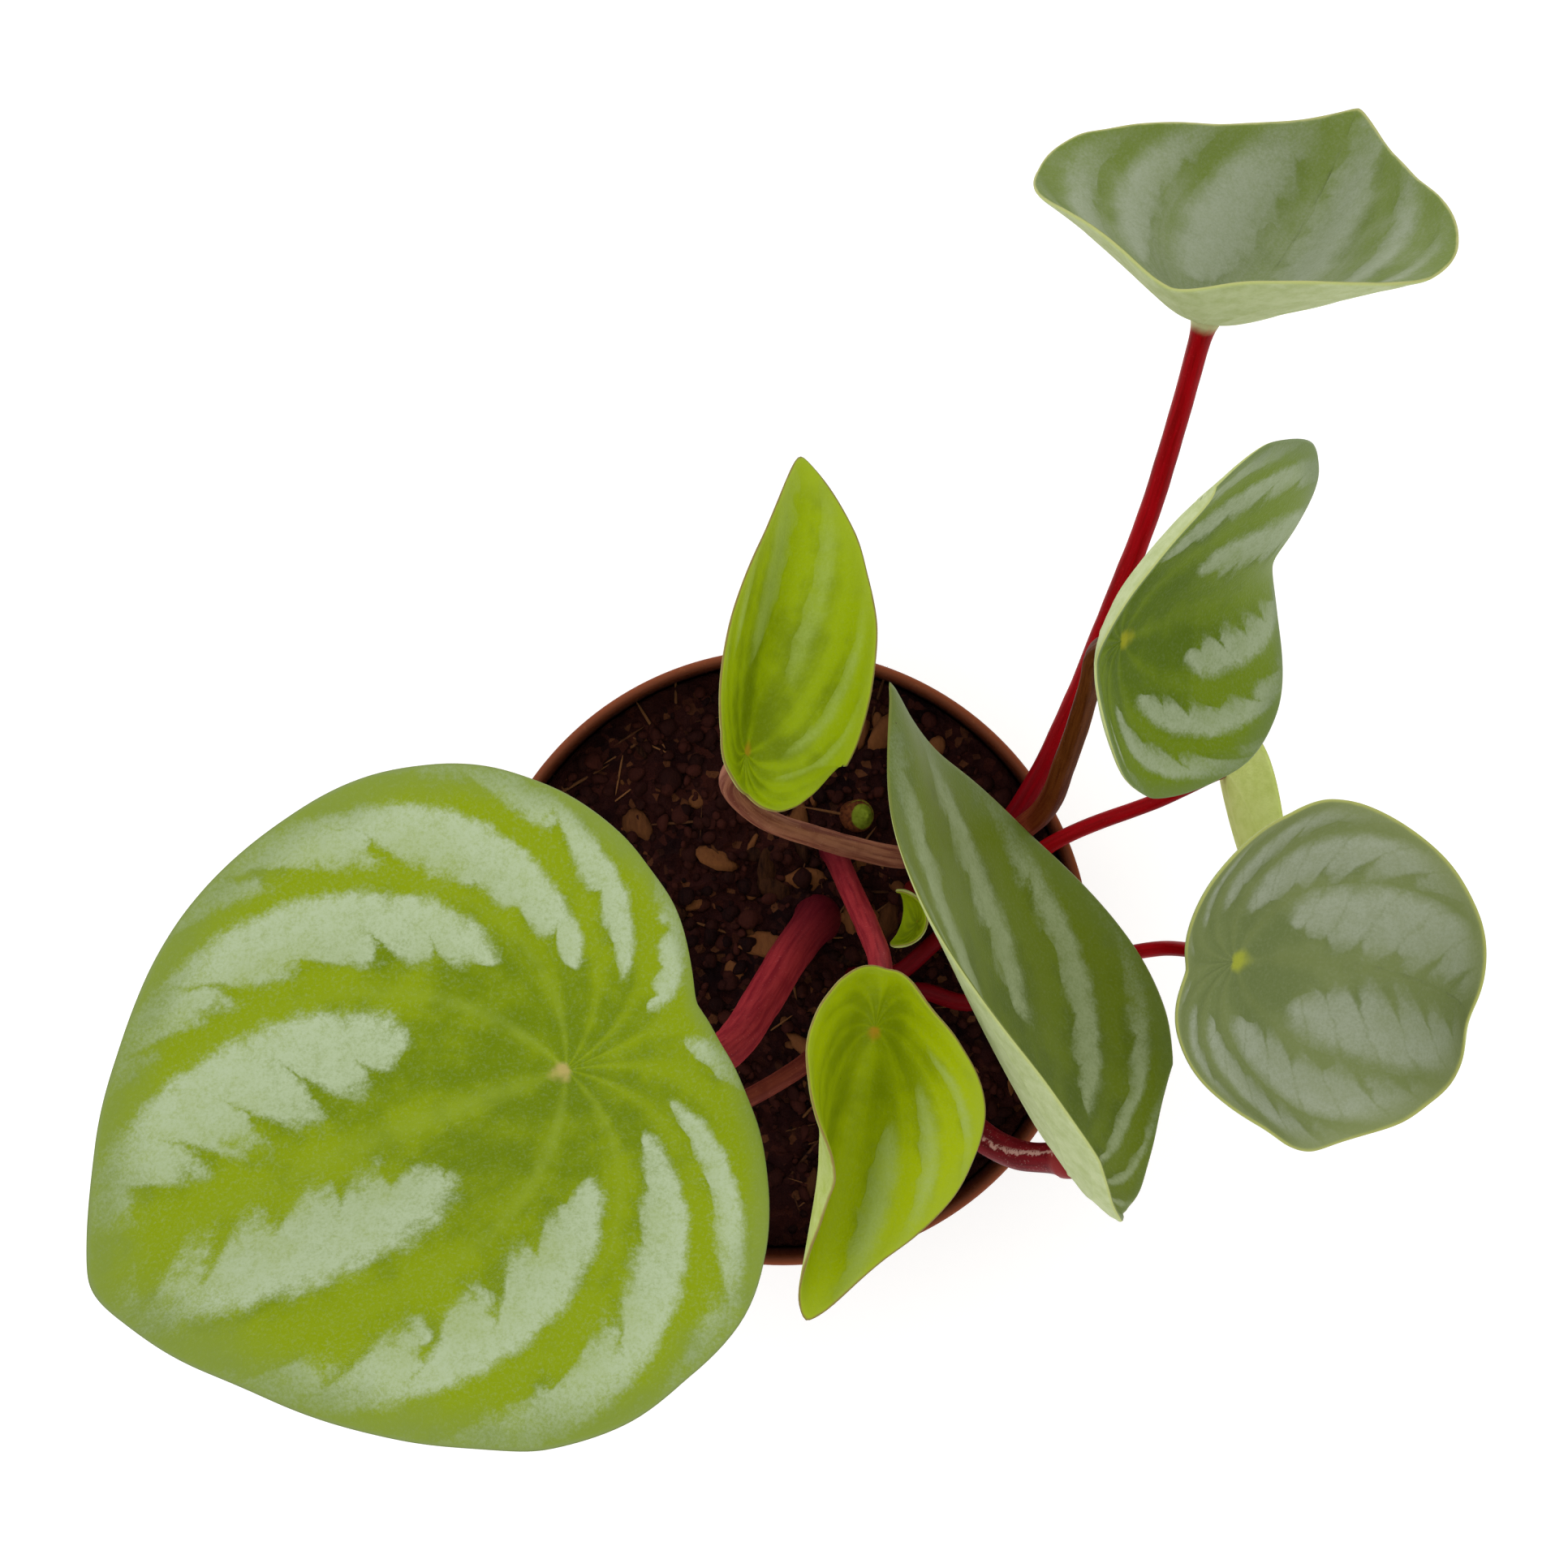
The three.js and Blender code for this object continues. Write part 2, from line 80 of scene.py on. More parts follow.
# %% The leaf table
LEAVES = {
    "leaf_big": dict(
        at=[-26.6, -11, 140], turn=[200, -1, -25], size=[63.5, 56.5, 19], wide=[1.12, 0.99],
        spine=[-7, 41, -27], fold=[-10, 0, 0.5], left=[1, 4, 28], right=[0, 17, 2], twist=-13,
        notch=0.03, blunt=0.05, egg=[0.81, 0.7], thick=1.2, grid=(300, 60),
        via=[[4.5, 4.8, 66], [0.8, 0.2, 75], [-2.6, -5, 85], [-7, -10.6, 100], [-14, -13.2, 118]],
        radius=[2.9, 2.3],
    ),
    "leaf_young_top": dict(
        at=[-4.7, 27.9, 112], turn=[81, -14.6, 51.3], size=[41.3, 27.7, 6.2], wide=[0.79, 0.71],
        spine=[51.2, -71.6, 27.9], fold=[29.9, 5, 0.4], left=[-1, 7.4, -29], right=[89.2, -11.4, -5.1],
        twist=-25.6, notch=0.06, skew=-0.033, blunt=0.02, egg=[1.38, 0.71],
        via=[[19.5, 14.8, 66], [16, 13.9, 76], [3.8, 17, 92], [-3.5, 20, 101], [-7, 24, 106]],
        radius=[1.7, 1.35],
    ),
    "leaf_young_low": dict(
        at=[11.6, -7.1, 122], turn=[260, -29, 6], size=[40, 30, 10], wide=[0.77, 0.85],
        spine=[52, 21, 1], fold=[63, 8, 0.06], left=[-67, -24, -3], right=[32, 18, 4], twist=-21,
        notch=0.04, skew=-0.01, blunt=0.01,
        via=[[7.1, 14.4, 66], [8.9, 10.1, 76], [11.2, 5, 90], [12.7, 0.2, 104]], radius=[1.7, 1.5],
    ),
    "leaf_folded": dict(
        at=[36.9, -24.1, 110], turn=[123.6, 0.6, 78.8], size=[65.8, 53.2, 10.6], wide=[0.86, 0.97],
        spine=[54, -41, 14], fold=[7, -26, 0.15], left=[28, -21, 17], right=[58, -18, -8], twist=-4,
        notch=0.015, skew=-0.035, blunt=0.01, egg=[1.37, 1.11], thick=1.2, grid=(260, 48),
        via=[[16.5, -12.5, 66], [18.5, -15, 78], [21.5, -18, 87], [25.8, -22.3, 96],
             [30.5, -24.5, 103]],
        radius=[2.3, 1.9],
    ),
    "leaf_right_high": dict(
        at=[42.5, 41.8, 128], turn=[25, -45, 36], size=[39, 35.5, 11], wide=[1.03, 0.79],
        spine=[49, -87, 32], fold=[10, 14, 0.05], left=[30, -55, -4], right=[16, 7, 3], twist=11,
        notch=0.13, blunt=0.06, thick=1.2,
        via=[[19, 9, 66], [23.5, 12.5, 73.5], [34.6, 19.8, 84], [37.7, 27.8, 95],
             [39.7, 36.6, 108], [40, 40.6, 119]],
        radius=[1.7, 1.45],
    ),
    "leaf_right_low": dict(
        at=[59.9, 0.4, 96], turn=[4, -35, 20], size=[39.5, 34, 10.5], wide=[0.95, 0.95],
        spine=[80, 53, 0], fold=[-7, -14, 0], left=[37, -3, 0], right=[61, -45, 0], twist=-9,
        notch=0.06, skew=-0.05, blunt=0.1, thick=1.1,
        via=[[14, -7, 66], [18.4, -4.8, 68.5], [25.8, -6.3, 70.5], [37.2, -2.1, 73.8], [50.9, 1.5, 80]],
        radius=[1.3, 0.95],
    ),
    "leaf_far": dict(
        at=[55.2, 84.9, 104], turn=[10, -65, -63], size=[52.5, 43, 17], wide=[0.93, 0.93],
        spine=[81, -6, 0], fold=[28, 10, 0], left=[-5, 34, 0], right=[-1, 13, 0], twist=-4, notch=0,
        skew=-0.01, blunt=0.01, thick=1.2, grid=(260, 48),
        via=[[24, 10.5, 65], [28.6, 15, 69], [34.5, 24, 75.5], [39.8, 35.6, 80],
             [43.9, 46.3, 83.5], [49, 60, 88], [52, 71, 94]],
        radius=[1.6, 1.4],
    ),
    "leaf_shaded": dict(
        at=[60.8, 26.2, 78], turn=[279, 0, -105], size=[24, 20, 8], wide=[0.62, 0.62], spine=[20, 0, 0],
        fold=[10, 0, 0.5], left=[20, 0, 0], right=[20, 0, 0], notch=0.05, blunt=0.05, grid=(160, 32),
        via=[[10.5, -3, 66], [15.5, -2.5, 68], [21.4, 2.5, 70.5], [36.8, 15.7, 75], [52, 22, 77]],
        radius=[1.3, 1],
    ),
    "leaf_under": dict(
        at=[-15.7, -23, 92], turn=[200, 10, -8], size=[24, 20, 8], wide=[0.9, 0.9], spine=[-30, -10, 0],
        fold=[12, 0, 0.5], left=[-20, 0, 0], right=[-20, 0, 0], notch=0.05, blunt=0.03, grid=(160, 32),
        via=[[8.5, -9.4, 66], [3.3, -14.1, 76], [-4.5, -18.4, 84]], radius=[1.5, 1.2],
    ),
    "leaf_curled": dict(
        at=[18.4, 5, 73], turn=[80, 0, -60], size=[6.2, 5, 5.5], wide=[0.6, 0.6], spine=[85, 30, 0],
        fold=[10, 0, 0], left=[10, 0, 0], right=[10, 0, 0], notch=0.05, blunt=0.05, thick=0.9,
        grid=(80, 20), via=[[19.8, 5.3, 66], [19.9, 5.4, 70]], radius=[1, 0.8],
    ),
}
SHARED = dict(twist=0, skew=0, egg=(0.7, 0.7), thick=1, grid=(240, 44))
LEAVES = {name: SHARED | leaf for name, leaf in LEAVES.items()}
print("leaves:", len(LEAVES))

# %% [markdown]
# ## The camera
# The plant is seen from straight above, two thirds of a metre over the floor, through a long lens.
# It is set first.

# %% The camera
CAMERA_PLACE = (0.0001, 0.0239, 0.672)
LENS = 99.97
SENSOR = 36.0

camera_data = bpy.data.cameras.new("camera_above")
camera_data.lens = LENS
camera_data.sensor_width = SENSOR
camera_data.sensor_fit = "HORIZONTAL"
camera_above = bpy.data.objects.new("camera_above", camera_data)
camera_above.location = CAMERA_PLACE
bpy.context.scene.collection.objects.link(camera_above)
bpy.context.scene.camera = camera_above
print("camera at", CAMERA_PLACE)

# %% [markdown]
# ## Meshes from arrays
# Every new piece is a closed skin: rings of points, one after the other, with the first and the
# last closed by a fan of triangles about a middle point. A blade, a stalk, a pot and the soil
# all fit that plan, so one helper makes their faces and another puts them into a mesh.


# %% Skins and meshes
def skin(rings, first=None, last=None):
    """Points, four-sided faces and end triangles of a closed skin. `rings` is (rings, count, 3),
    and each ring runs anticlockwise as seen from the last one. The two end points are the
    middles of the end rings, where no others are given."""
    total, count = rings.shape[:2]
    first = rings[0].mean(0) if first is None else first
    last = rings[-1].mean(0) if last is None else last
    points = np.vstack([first, rings.reshape(-1, 3), last])
    numbers = 1 + np.arange(total * count).reshape(total, count)
    after = np.roll(numbers, -1, axis=1)
    quads = np.stack([numbers[:-1], after[:-1], after[1:], numbers[1:]], axis=-1).reshape(-1, 4)
    start = np.stack([np.zeros(count, int), after[0], numbers[0]], axis=-1)
    end = np.stack([np.full(count, total * count + 1), numbers[-1], after[-1]], axis=-1)
    return points, quads, np.vstack([start, end])


def new_mesh_object(name, points, quads, triangles, smooth=True):
    """An object at the origin from points in millimetres and faces as point numbers."""
    mesh = bpy.data.meshes.new(name)
    corners = np.concatenate([np.ravel(quads), np.ravel(triangles)]).astype(np.int32)
    sides = np.concatenate([np.full(len(quads), 4), np.full(len(triangles), 3)])
    starts = np.concatenate([[0], np.cumsum(sides)[:-1]]).astype(np.int32)
    mesh.vertices.add(len(points))
    mesh.vertices.foreach_set("co", (np.asarray(points) * MM).astype(np.float32).ravel())
    mesh.loops.add(len(corners))
    mesh.loops.foreach_set("vertex_index", corners)
    mesh.polygons.add(len(starts))
    mesh.polygons.foreach_set("loop_start", starts)
    mesh.update(calc_edges=True)
    mesh.polygons.foreach_set("use_smooth", np.full(len(starts), smooth))
    made = bpy.data.objects.new(name, mesh)
    bpy.context.scene.collection.objects.link(made)
    return made


def skin_field(*parts, last=(0, 0, 0)):
    """Three numbers for every point of a skin, whose first point has zeros."""
    values = np.stack(np.broadcast_arrays(*parts), -1).reshape(-1, 3)
    return np.vstack([[0, 0, 0], values, last])


def add_field(made, name, values):
    """Stores a number or a vector at every point of the mesh, for its material to read."""
    kind, key = ("FLOAT", "value") if values.ndim == 1 else ("FLOAT_VECTOR", "vector")
    stored = made.data.attributes.new(name, kind, "POINT")
    stored.data.foreach_set(key, values.astype(np.float32).ravel())


def dress(made, materials, slot, *nodes):
    """Gives a piece its materials and its body, and hides the solids it stands for. The slot is not
    used.
    """
    for material in materials:
        made.data.materials.append(material)
    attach(made, "root")
    if nodes:
        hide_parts(*nodes)
    faces = len(made.data.loop_triangles) or sum(p.loop_total - 2 for p in made.data.polygons)
    print(f"{made.name}: {faces} triangles")


# %% [markdown]
# ## Natural unevenness
# Nothing that grew is exact. Random heights on a lattice, blended smoothly between its points,
# give the soil its lumps and the blades their slight waves, the same on every run.


# %% Smooth random heights
LATTICE_SIZE = 64
LATTICE = np.random.default_rng(7).random((LATTICE_SIZE, LATTICE_SIZE))


def unevenness(x, y, size, seed=0):
    """Heights from -1 to 1 that change over `size`: the four lattice values around a place,
    blended with the curve 3u^2 - 2u^3."""
    u = np.asarray(x, float) / size + 11.3 * seed
    v = np.asarray(y, float) / size + 5.7 * seed
    column = np.floor(u).astype(int)
    row = np.floor(v).astype(int)
    across = (u - column) ** 2 * (3 - 2 * (u - column))
    up = (v - row) ** 2 * (3 - 2 * (v - row))
    near, far = (LATTICE[row_here % LATTICE_SIZE, column % LATTICE_SIZE] * (1 - across)
                 + LATTICE[row_here % LATTICE_SIZE, (column + 1) % LATTICE_SIZE] * across
                 for row_here in (row, row + 1))
    return 2 * (near * (1 - up) + far * up) - 1


# %% [markdown]
# ## The form of a blade
# A peperomia blade is a round shield with a short point. Its stalk joins it a fifth of the way
# in. Its veins leave that spot all round and bend towards the tip. A grid that follows the
# veins serves both the form and the markings: one number counts the veins round from the
# midrib, the other runs from the stalk to the margin.


# %% The outline and the veins
VEINS = 5.0
VEIN_CROWDING = 0.4
VEIN_BEND = 0.78


def reach(leaf, angle):
    """Length from the stalk to the margin: an egg between base and shoulder, with a point
    added about the tip and a notch taken out about the base."""
    tip, shoulder, base = leaf["size"]
    power = np.where(angle > 0, *leaf["egg"])
    egg = base + (shoulder - base) * ((1 + np.cos(angle)) / 2) ** power
    beside = np.sqrt(angle ** 2 + leaf["blunt"] ** 2) - leaf["blunt"]
    point = (tip - shoulder) * np.exp(-beside / POINT_SPREAD)
    notch = leaf["notch"] * base * np.exp(-(((np.pi - np.abs(angle)) / NOTCH_SPREAD) ** 2))
    return (egg + point - notch) * (1 + leaf["skew"] * np.sin(2 * angle))


def vein_angle(vein, out):
    """Direction of a vein, counted from the midrib, at a share of the way out. Veins crowd
    towards the base at the stalk, and bend forward: the tangent of half the angle shrinks."""
    start = np.sign(vein) * np.pi * (1 - np.exp(-VEIN_CROWDING * np.abs(vein)))
    start = start / (1 - np.exp(-VEIN_CROWDING * VEINS))
    return 2 * np.arctan(np.tan(start / 2) * (1 - VEIN_BEND * out))


# %% The bend of the blade
STRIDES = 12


def walk(slope_at, distance):
    """Sums short strides along a curve of the given slope in degrees: how far on, how far up."""
    stride = distance / STRIDES
    middles = (np.arange(STRIDES).reshape(-1, *[1] * distance.ndim) + 0.5) * stride
    slope = np.radians(slope_at(middles))
    return (np.cos(slope) * stride).sum(axis=0), (np.sin(slope) * stride).sum(axis=0)


def bent(leaf, along, across):
    """Bends points of the flat blade: the spine curves up or down along its length, both
    halves fold and curl away from it, and the section twists towards the tip."""
    tip, _, base = leaf["size"]
    spine, fold = leaf["spine"], leaf["fold"]

    def spine_slope(d):
        out = d / tip
        return spine[0] * out + spine[1] * out * np.abs(out) - spine[2] * np.maximum(-d / base, 0)

    on, rise = walk(spine_slope, along)
    share = along / tip
    behind = np.clip(-along / base, 0, 1)
    fade = 1 - fold[2] * behind ** 2 * (3 - 2 * behind)
    crease = (fold[0] + fold[1] * np.maximum(share, 0)) * fade
    curl = np.where(across[..., None] > 0, leaf["left"], leaf["right"])

    def half_slope(d):
        out = d / (tip / 2)
        curled = (curl[..., 0] + curl[..., 1] * share) * out + curl[..., 2] * out ** 2
        return crease * np.tanh(out / FOLD_SPREAD) + curled

    side, lift = walk(half_slope, np.abs(across))
    side = np.sign(across) * side
    twist = np.radians(leaf["twist"] * share)
    sideways = side * np.cos(twist) - lift * np.sin(twist)
    upwards = side * np.sin(twist) + lift * np.cos(twist)
    lean = np.radians(spine_slope(along))
    return np.stack([on - np.sin(lean) * upwards, sideways, rise + np.cos(lean) * upwards], -1)


# %% A blade in its place
def unit(vectors):
    """Vectors with length one."""
    return vectors / np.linalg.norm(vectors, axis=-1, keepdims=True)


def rotation(angle, axis):
    """Matrices that turn by the angles about axis 0, 1 or 2, with cosines on the diagonal."""
    first, second = (axis + 1) % 3, (axis + 2) % 3
    matrix = np.zeros((*np.shape(angle), 3, 3))
    matrix[..., axis, axis] = 1
    matrix[..., first, first] = matrix[..., second, second] = np.cos(angle)
    matrix[..., second, first] = np.sin(angle)
    matrix[..., first, second] = -np.sin(angle)
    return matrix


def turned(leaf, points):
    """Rolls points about the midrib, pitches them and turns them to the heading."""
    heading, pitch, roll = np.radians(leaf["turn"])
    return points @ (rotation(heading, 2) @ rotation(-pitch, 1) @ rotation(roll, 0)).T


def blade_top(leaf, angle, share):
    """Points on the blade's top and the directions straight up from it, in the part's frame.
    The upward direction is the cross product of two small steps on the bent blade."""
    far = reach(leaf, angle) * share
    along = far * np.cos(angle)
    across = far * np.sin(angle) * np.where(angle > 0, *leaf["wide"])
    small = 0.01
    step_on = bent(leaf, along + small, across) - bent(leaf, along - small, across)
    step_side = bent(leaf, along, across + small) - bent(leaf, along, across - small)
    up = unit(np.cross(step_on, step_side))
    return turned(leaf, bent(leaf, along, across)) + leaf["at"], turned(leaf, up)


# %% [markdown]
# ## Where the silver bands lie
# Between each two veins lies one silver band, a pocket of air under the leaf's skin. It starts as
# a blunt point, widens outwards and breaks up before the margin. No two are alike, so a table
# places them. The bands of a half are counted from the midrib. Each has its start and end as
# shares of the way out, its half width and its shift off the middle, both counted in veins.
# Cells that a row leaves out have no band.

# %% The band table
BANDS = {
    "leaf_big": dict(
        left=[(0.34, 0.93, 0.27, -0.1), (0.34, 0.97, 0.3, 0.03), (0.4, 0.97, 0.3, 0.05),
              (0.52, 0.97, 0.2, -0.1), (0.76, 1.0, 0.2, 0)],
        right=[(0.35, 0.97, 0.32, 0.06), (0.36, 0.97, 0.31, 0.05), (0.38, 1.0, 0.33, -0.02),
               (0.5, 1.0, 0.24, -0.03), (0.6, 1.0, 0.24, -0.08)]),
    "leaf_folded": dict(
        left=[(0.4, 0.95, 0.24, 0)] * 5,
        right=[(0.36, 0.94, 0.21, 0.02), (0.34, 0.92, 0.22, 0.02), (0.4, 0.9, 0.2, 0.04),
               (0.5, 0.94, 0.17, 0), (0.65, 0.98, 0.15, 0)]),
    "leaf_right_high": dict(
        left=[(0.38, 1.0, 0.26, 0.05), (0.4, 1.0, 0.27, 0.05), (0.45, 1.0, 0.28, 0),
              (0.6, 0.95, 0.17, 0), (0.8, 0.95, 0.08, 0)],
        right=[(0.38, 1.0, 0.25, 0.04), (0.35, 1.0, 0.27, 0.02), (0.46, 1.0, 0.26, 0),
               (0.7, 0.95, 0.13, 0), (0.85, 0.95, 0.08, 0)]),
    "leaf_right_low": dict(
        left=[(0.3, 0.97, 0.4, 0.02), (0.28, 0.97, 0.38, -0.02), (0.42, 0.95, 0.28, 0),
              (0.6, 0.95, 0.2, 0), (0.8, 0.95, 0.12, 0)],
        right=[(0.32, 0.97, 0.36, 0.02), (0.3, 0.97, 0.38, 0.02), (0.42, 0.97, 0.32, 0),
               (0.58, 0.95, 0.25, 0), (0.8, 0.95, 0.15, 0)]),
    "leaf_far": dict(
        left=[(0.3, 0.95, 0.34, 0.06), (0.36, 0.95, 0.28, 0.04), (0.4, 0.9, 0.3, 0),
              (0.6, 0.9, 0.2, 0)],
        right=[(0.33, 0.97, 0.28, -0.2), (0.4, 0.95, 0.26, -0.06), (0.5, 0.9, 0.2, 0),
               (0.6, 0.95, 0.15, 0)]),
    "leaf_young_top": dict(
        left=[(0.42, 1.0, 0.27, -0.12), (0.78, 1.0, 0.22, 0.1), (0.9, 1.0, 0.14, 0)],
        right=[(0.36, 0.95, 0.13, -0.12), (0.35, 0.92, 0.15, 0.1), (0.45, 0.9, 0.13, 0)]),
    "leaf_young_low": dict(
        left=[(0.44, 1.0, 0.25, 0.02), (0.46, 0.95, 0.2, -0.05), (0.6, 0.95, 0.14, 0)],
        right=[(0.55, 1.0, 0.2, 0.1)]),
    "leaf_curled": dict(left=[], right=[]),
}
NO_BAND = (0.5, 0.95, 0, 0)
PLAIN_BANDS = dict(left=[(0.4, 0.95, 0.25, 0)] * 5, right=[(0.4, 0.95, 0.25, 0)] * 5)
BAND_OPENING = 0.24
BAND_CLOSING = 0.24


def band_field(name, vein, out):
    """Shift, half width and density of the band that a point of the blade lies in. The width
    opens from the start like a quarter of a circle, and the density sinks to 0 about the end."""
    rows = BANDS.get(name, PLAIN_BANDS)
    cells = int(VEINS)
    table = np.array([(rows[half] + [NO_BAND] * cells)[:cells] for half in ("right", "left")])
    vein, out = np.broadcast_arrays(vein, out)
    cell = np.minimum(np.abs(vein).astype(int), cells - 1)
    start, end, width, shift = np.moveaxis(table[(vein > 0).astype(int), cell], -1, 0)
    opened = np.clip((out - start) / BAND_OPENING, 0, 1)
    density = np.clip((end - out) / BAND_CLOSING + 0.5, 0, 1)
    return shift, width * np.sqrt(opened * (2 - opened)), density


print("leaves with bands of their own:", len(BANDS))

# %% [markdown]
# ## Blade surfaces
# The real blade is thick in the middle and thins to a rounded margin. Its top puffs up softly
# between the veins, which lie sunken, and its underside shows the veins as low ribs. Those
# heights are added along the blade's own upward direction on the vein grid.

# %% Blade surfaces
MARGIN_ZONE = 0.035
THINNING = 0.35
PUFF = 0.11
RIB = 0.16
RIB_WIDTH = 0.07
WAVE = 0.22
WAVE_LENGTH = 13
RIPPLE = 0.011
HALF = 0.4
SUNK = 0.42
CLOSER_OUTWARDS = 1.3
FADE_IN, FADE_OUT = 0.3, 0.12


def make_blade(name, leaf, top_material, under_material, slot):
    """Underside rings from the stalk out, then top rings back in, as one closed skin."""
    columns, rows = leaf["grid"]
    vein = np.linspace(-VEINS, VEINS, columns, endpoint=False)[None, :]
    out = (1 - (1 - np.linspace(0, 1, rows + 1)[1:]) ** CLOSER_OUTWARDS)[:, None]
    angle = vein_angle(vein, out)
    seed = len(name) + leaf["thick"]
    margin = 1 + RIPPLE * unevenness(5 * np.cos(angle), 5 * np.sin(angle), 1, seed) * out ** 3
    top, up = blade_top(leaf, angle, out * margin)

    size = leaf["size"][1] / 50
    far = reach(leaf, angle) * out
    wave = unevenness(far * np.cos(angle), far * np.sin(angle), WAVE_LENGTH * size, seed)
    wave = WAVE * size * out * wave
    window = np.clip(out / FADE_IN, 0, 1) * np.clip((1 - out) / FADE_OUT, 0, 1)
    puff = PUFF * size * window * -np.cos(2 * np.pi * vein)
    nearest = np.abs(vein - np.round(vein))
    rib = RIB * size * window * np.exp(-((nearest / RIB_WIDTH) ** 2)) * (1 - 0.6 * out)

    middle = SUNK * leaf["thick"]
    into_margin = np.clip((out - 1 + MARGIN_ZONE) / MARGIN_ZONE, 0, 1)
    half = HALF * leaf["thick"] * (1 - THINNING * out ** 2) * np.sqrt(1 - into_margin ** 2)
    top_height = wave + half - middle + puff
    under_height = wave - half - middle - rib
    rings = np.concatenate([top + up * under_height[..., None],
                            (top + up * top_height[..., None])[:-1][::-1]])
    centre, centre_up = blade_top(leaf, np.zeros(1), np.zeros(1))
    under_middle = centre - centre_up * (HALF * leaf["thick"] + middle)
    top_middle = centre + centre_up * (HALF * leaf["thick"] - middle)
    made = new_mesh_object(name + "_blade_fine", *skin(rings, under_middle, top_middle))

    there_and_back = np.r_[:rows, rows - 2:-1:-1]
    out = out[there_and_back]
    add_field(made, "veins", skin_field(np.abs(vein), out, vein > 0))
    add_field(made, "bands", skin_field(*band_field(name, vein, out)))
    quads = (len(rings) - 1) * columns
    is_top = np.arange(quads) >= (rows - 1) * columns
    fans = np.repeat([False, True], columns)
    made.data.polygons.foreach_set(
        "material_index", np.where(np.concatenate([is_top, fans]), 0, 1).astype(np.int32))
    dress(made, [top_material, under_material], slot, name + "_blade")


# %% [markdown]
# ## Stalk surfaces
# A stalk is a soft round rod that leaves the soil upright, bends along its own route and
# flares into its blade. The route is a smooth curve through the drawing's points. A tube of
# rings is carried along it and a little past its end, where it closes like a dome. There its
# points are pressed below the top of the blade, so nothing shows through.

# %% A smooth curve through points
SAMPLES_A_SPAN = 60


def smooth_route(points):
    """A centripetal Catmull-Rom curve: each span is a cubic between two points, whose end
    slopes come from the neighbours, weighed by the square roots of the distances."""
    points = np.asarray(points, float)
    p = np.array([2 * points[0] - points[1], *points, 2 * points[-1] - points[-2]])
    gaps = np.sqrt(np.linalg.norm(np.diff(p, axis=0), axis=1))[:, None]
    before, here, after = gaps[:-2], gaps[1:-1], gaps[2:]
    p0, p1, p2, p3 = p[:-3], p[1:-2], p[2:-1], p[3:]
    slope1 = here * ((p1 - p0) / before - (p2 - p0) / (before + here) + (p2 - p1) / here)
    slope2 = here * ((p2 - p1) / here - (p3 - p1) / (here + after) + (p3 - p2) / after)
    u = (np.arange(SAMPLES_A_SPAN) / SAMPLES_A_SPAN)[None, :, None]
    p1, p2, slope1, slope2 = (a[:, None, :] for a in (p1, p2, slope1, slope2))
    curve = (p1 + slope1 * u + (3 * (p2 - p1) - 2 * slope1 - slope2) * u ** 2
             + (2 * (p1 - p2) + slope1 + slope2) * u ** 3)
    return np.vstack([curve.reshape(-1, 3), points[-1]])


def distances(curve):
    """How far each point lies from the first one, along the curve."""
    return np.concatenate([[0], np.cumsum(np.linalg.norm(np.diff(curve, axis=0), axis=1))])


def at_distances(curve, stops):
    """The points that lie at the given distances along the curve."""
    return np.stack([np.interp(stops, distances(curve), column) for column in curve.T], -1)


def even_stations(curve, spacing):
    """Points at equal steps along the curve, their directions and their distance along it."""
    length = distances(curve)[-1]
    stops = np.linspace(0, length, max(int(round(length / spacing)), 8) + 1)
    centres = at_distances(curve, stops)
    return centres, unit(np.gradient(centres, axis=0)), stops


# %% Stalks
STALK_SIDES = 28
STALK_SPACING = 0.9
FLARE = 0.4
FLARE_LENGTH = 1.6
PAST_BLADE = 1.6
PAST_RINGS = 8
FOOT_SWELL = 0.22
FOOT_LENGTH = 3.5
NEAR_BLADE = 8
UNDER_TOP = 0.45
SKIN_WAVE = 0.025
RIDGES = 6


def rod(centres, forward, radius, around):
    """Rings about the centres. One axis is level, so the other shows the rod's upper side."""
    overall = centres[-1] - centres[0]
    level = unit(np.array([-overall[1], overall[0], 0.0]))
    side = unit(level - (forward @ level)[:, None] * forward)
    upper = np.cross(forward, side)
    ring = np.cos(around)[:, None] * side[:, None] + np.sin(around)[:, None] * upper[:, None]
    return centres[:, None] + radius[..., None] * ring


def press_below(points, leaf):
    """Moves points that are above the middle of the blade down to it, near its stalk."""
    angle, share = np.meshgrid(np.linspace(-np.pi, np.pi, 90, endpoint=False),
                               np.linspace(0.004, 0.5, 60))
    top, up = (found.reshape(-1, 3) for found in blade_top(leaf, angle, share))
    flat = points.reshape(-1, 3)
    close = np.flatnonzero(np.linalg.norm(flat - leaf["at"], axis=1) < NEAR_BLADE)
    nearest = np.linalg.norm(flat[close, None] - top, axis=2).argmin(axis=1)
    height = ((flat[close] - top[nearest]) * up[nearest]).sum(axis=1)
    excess = np.maximum(height + UNDER_TOP * leaf["thick"], 0)
    flat[close] -= excess[:, None] * up[nearest]
    return flat.reshape(points.shape)


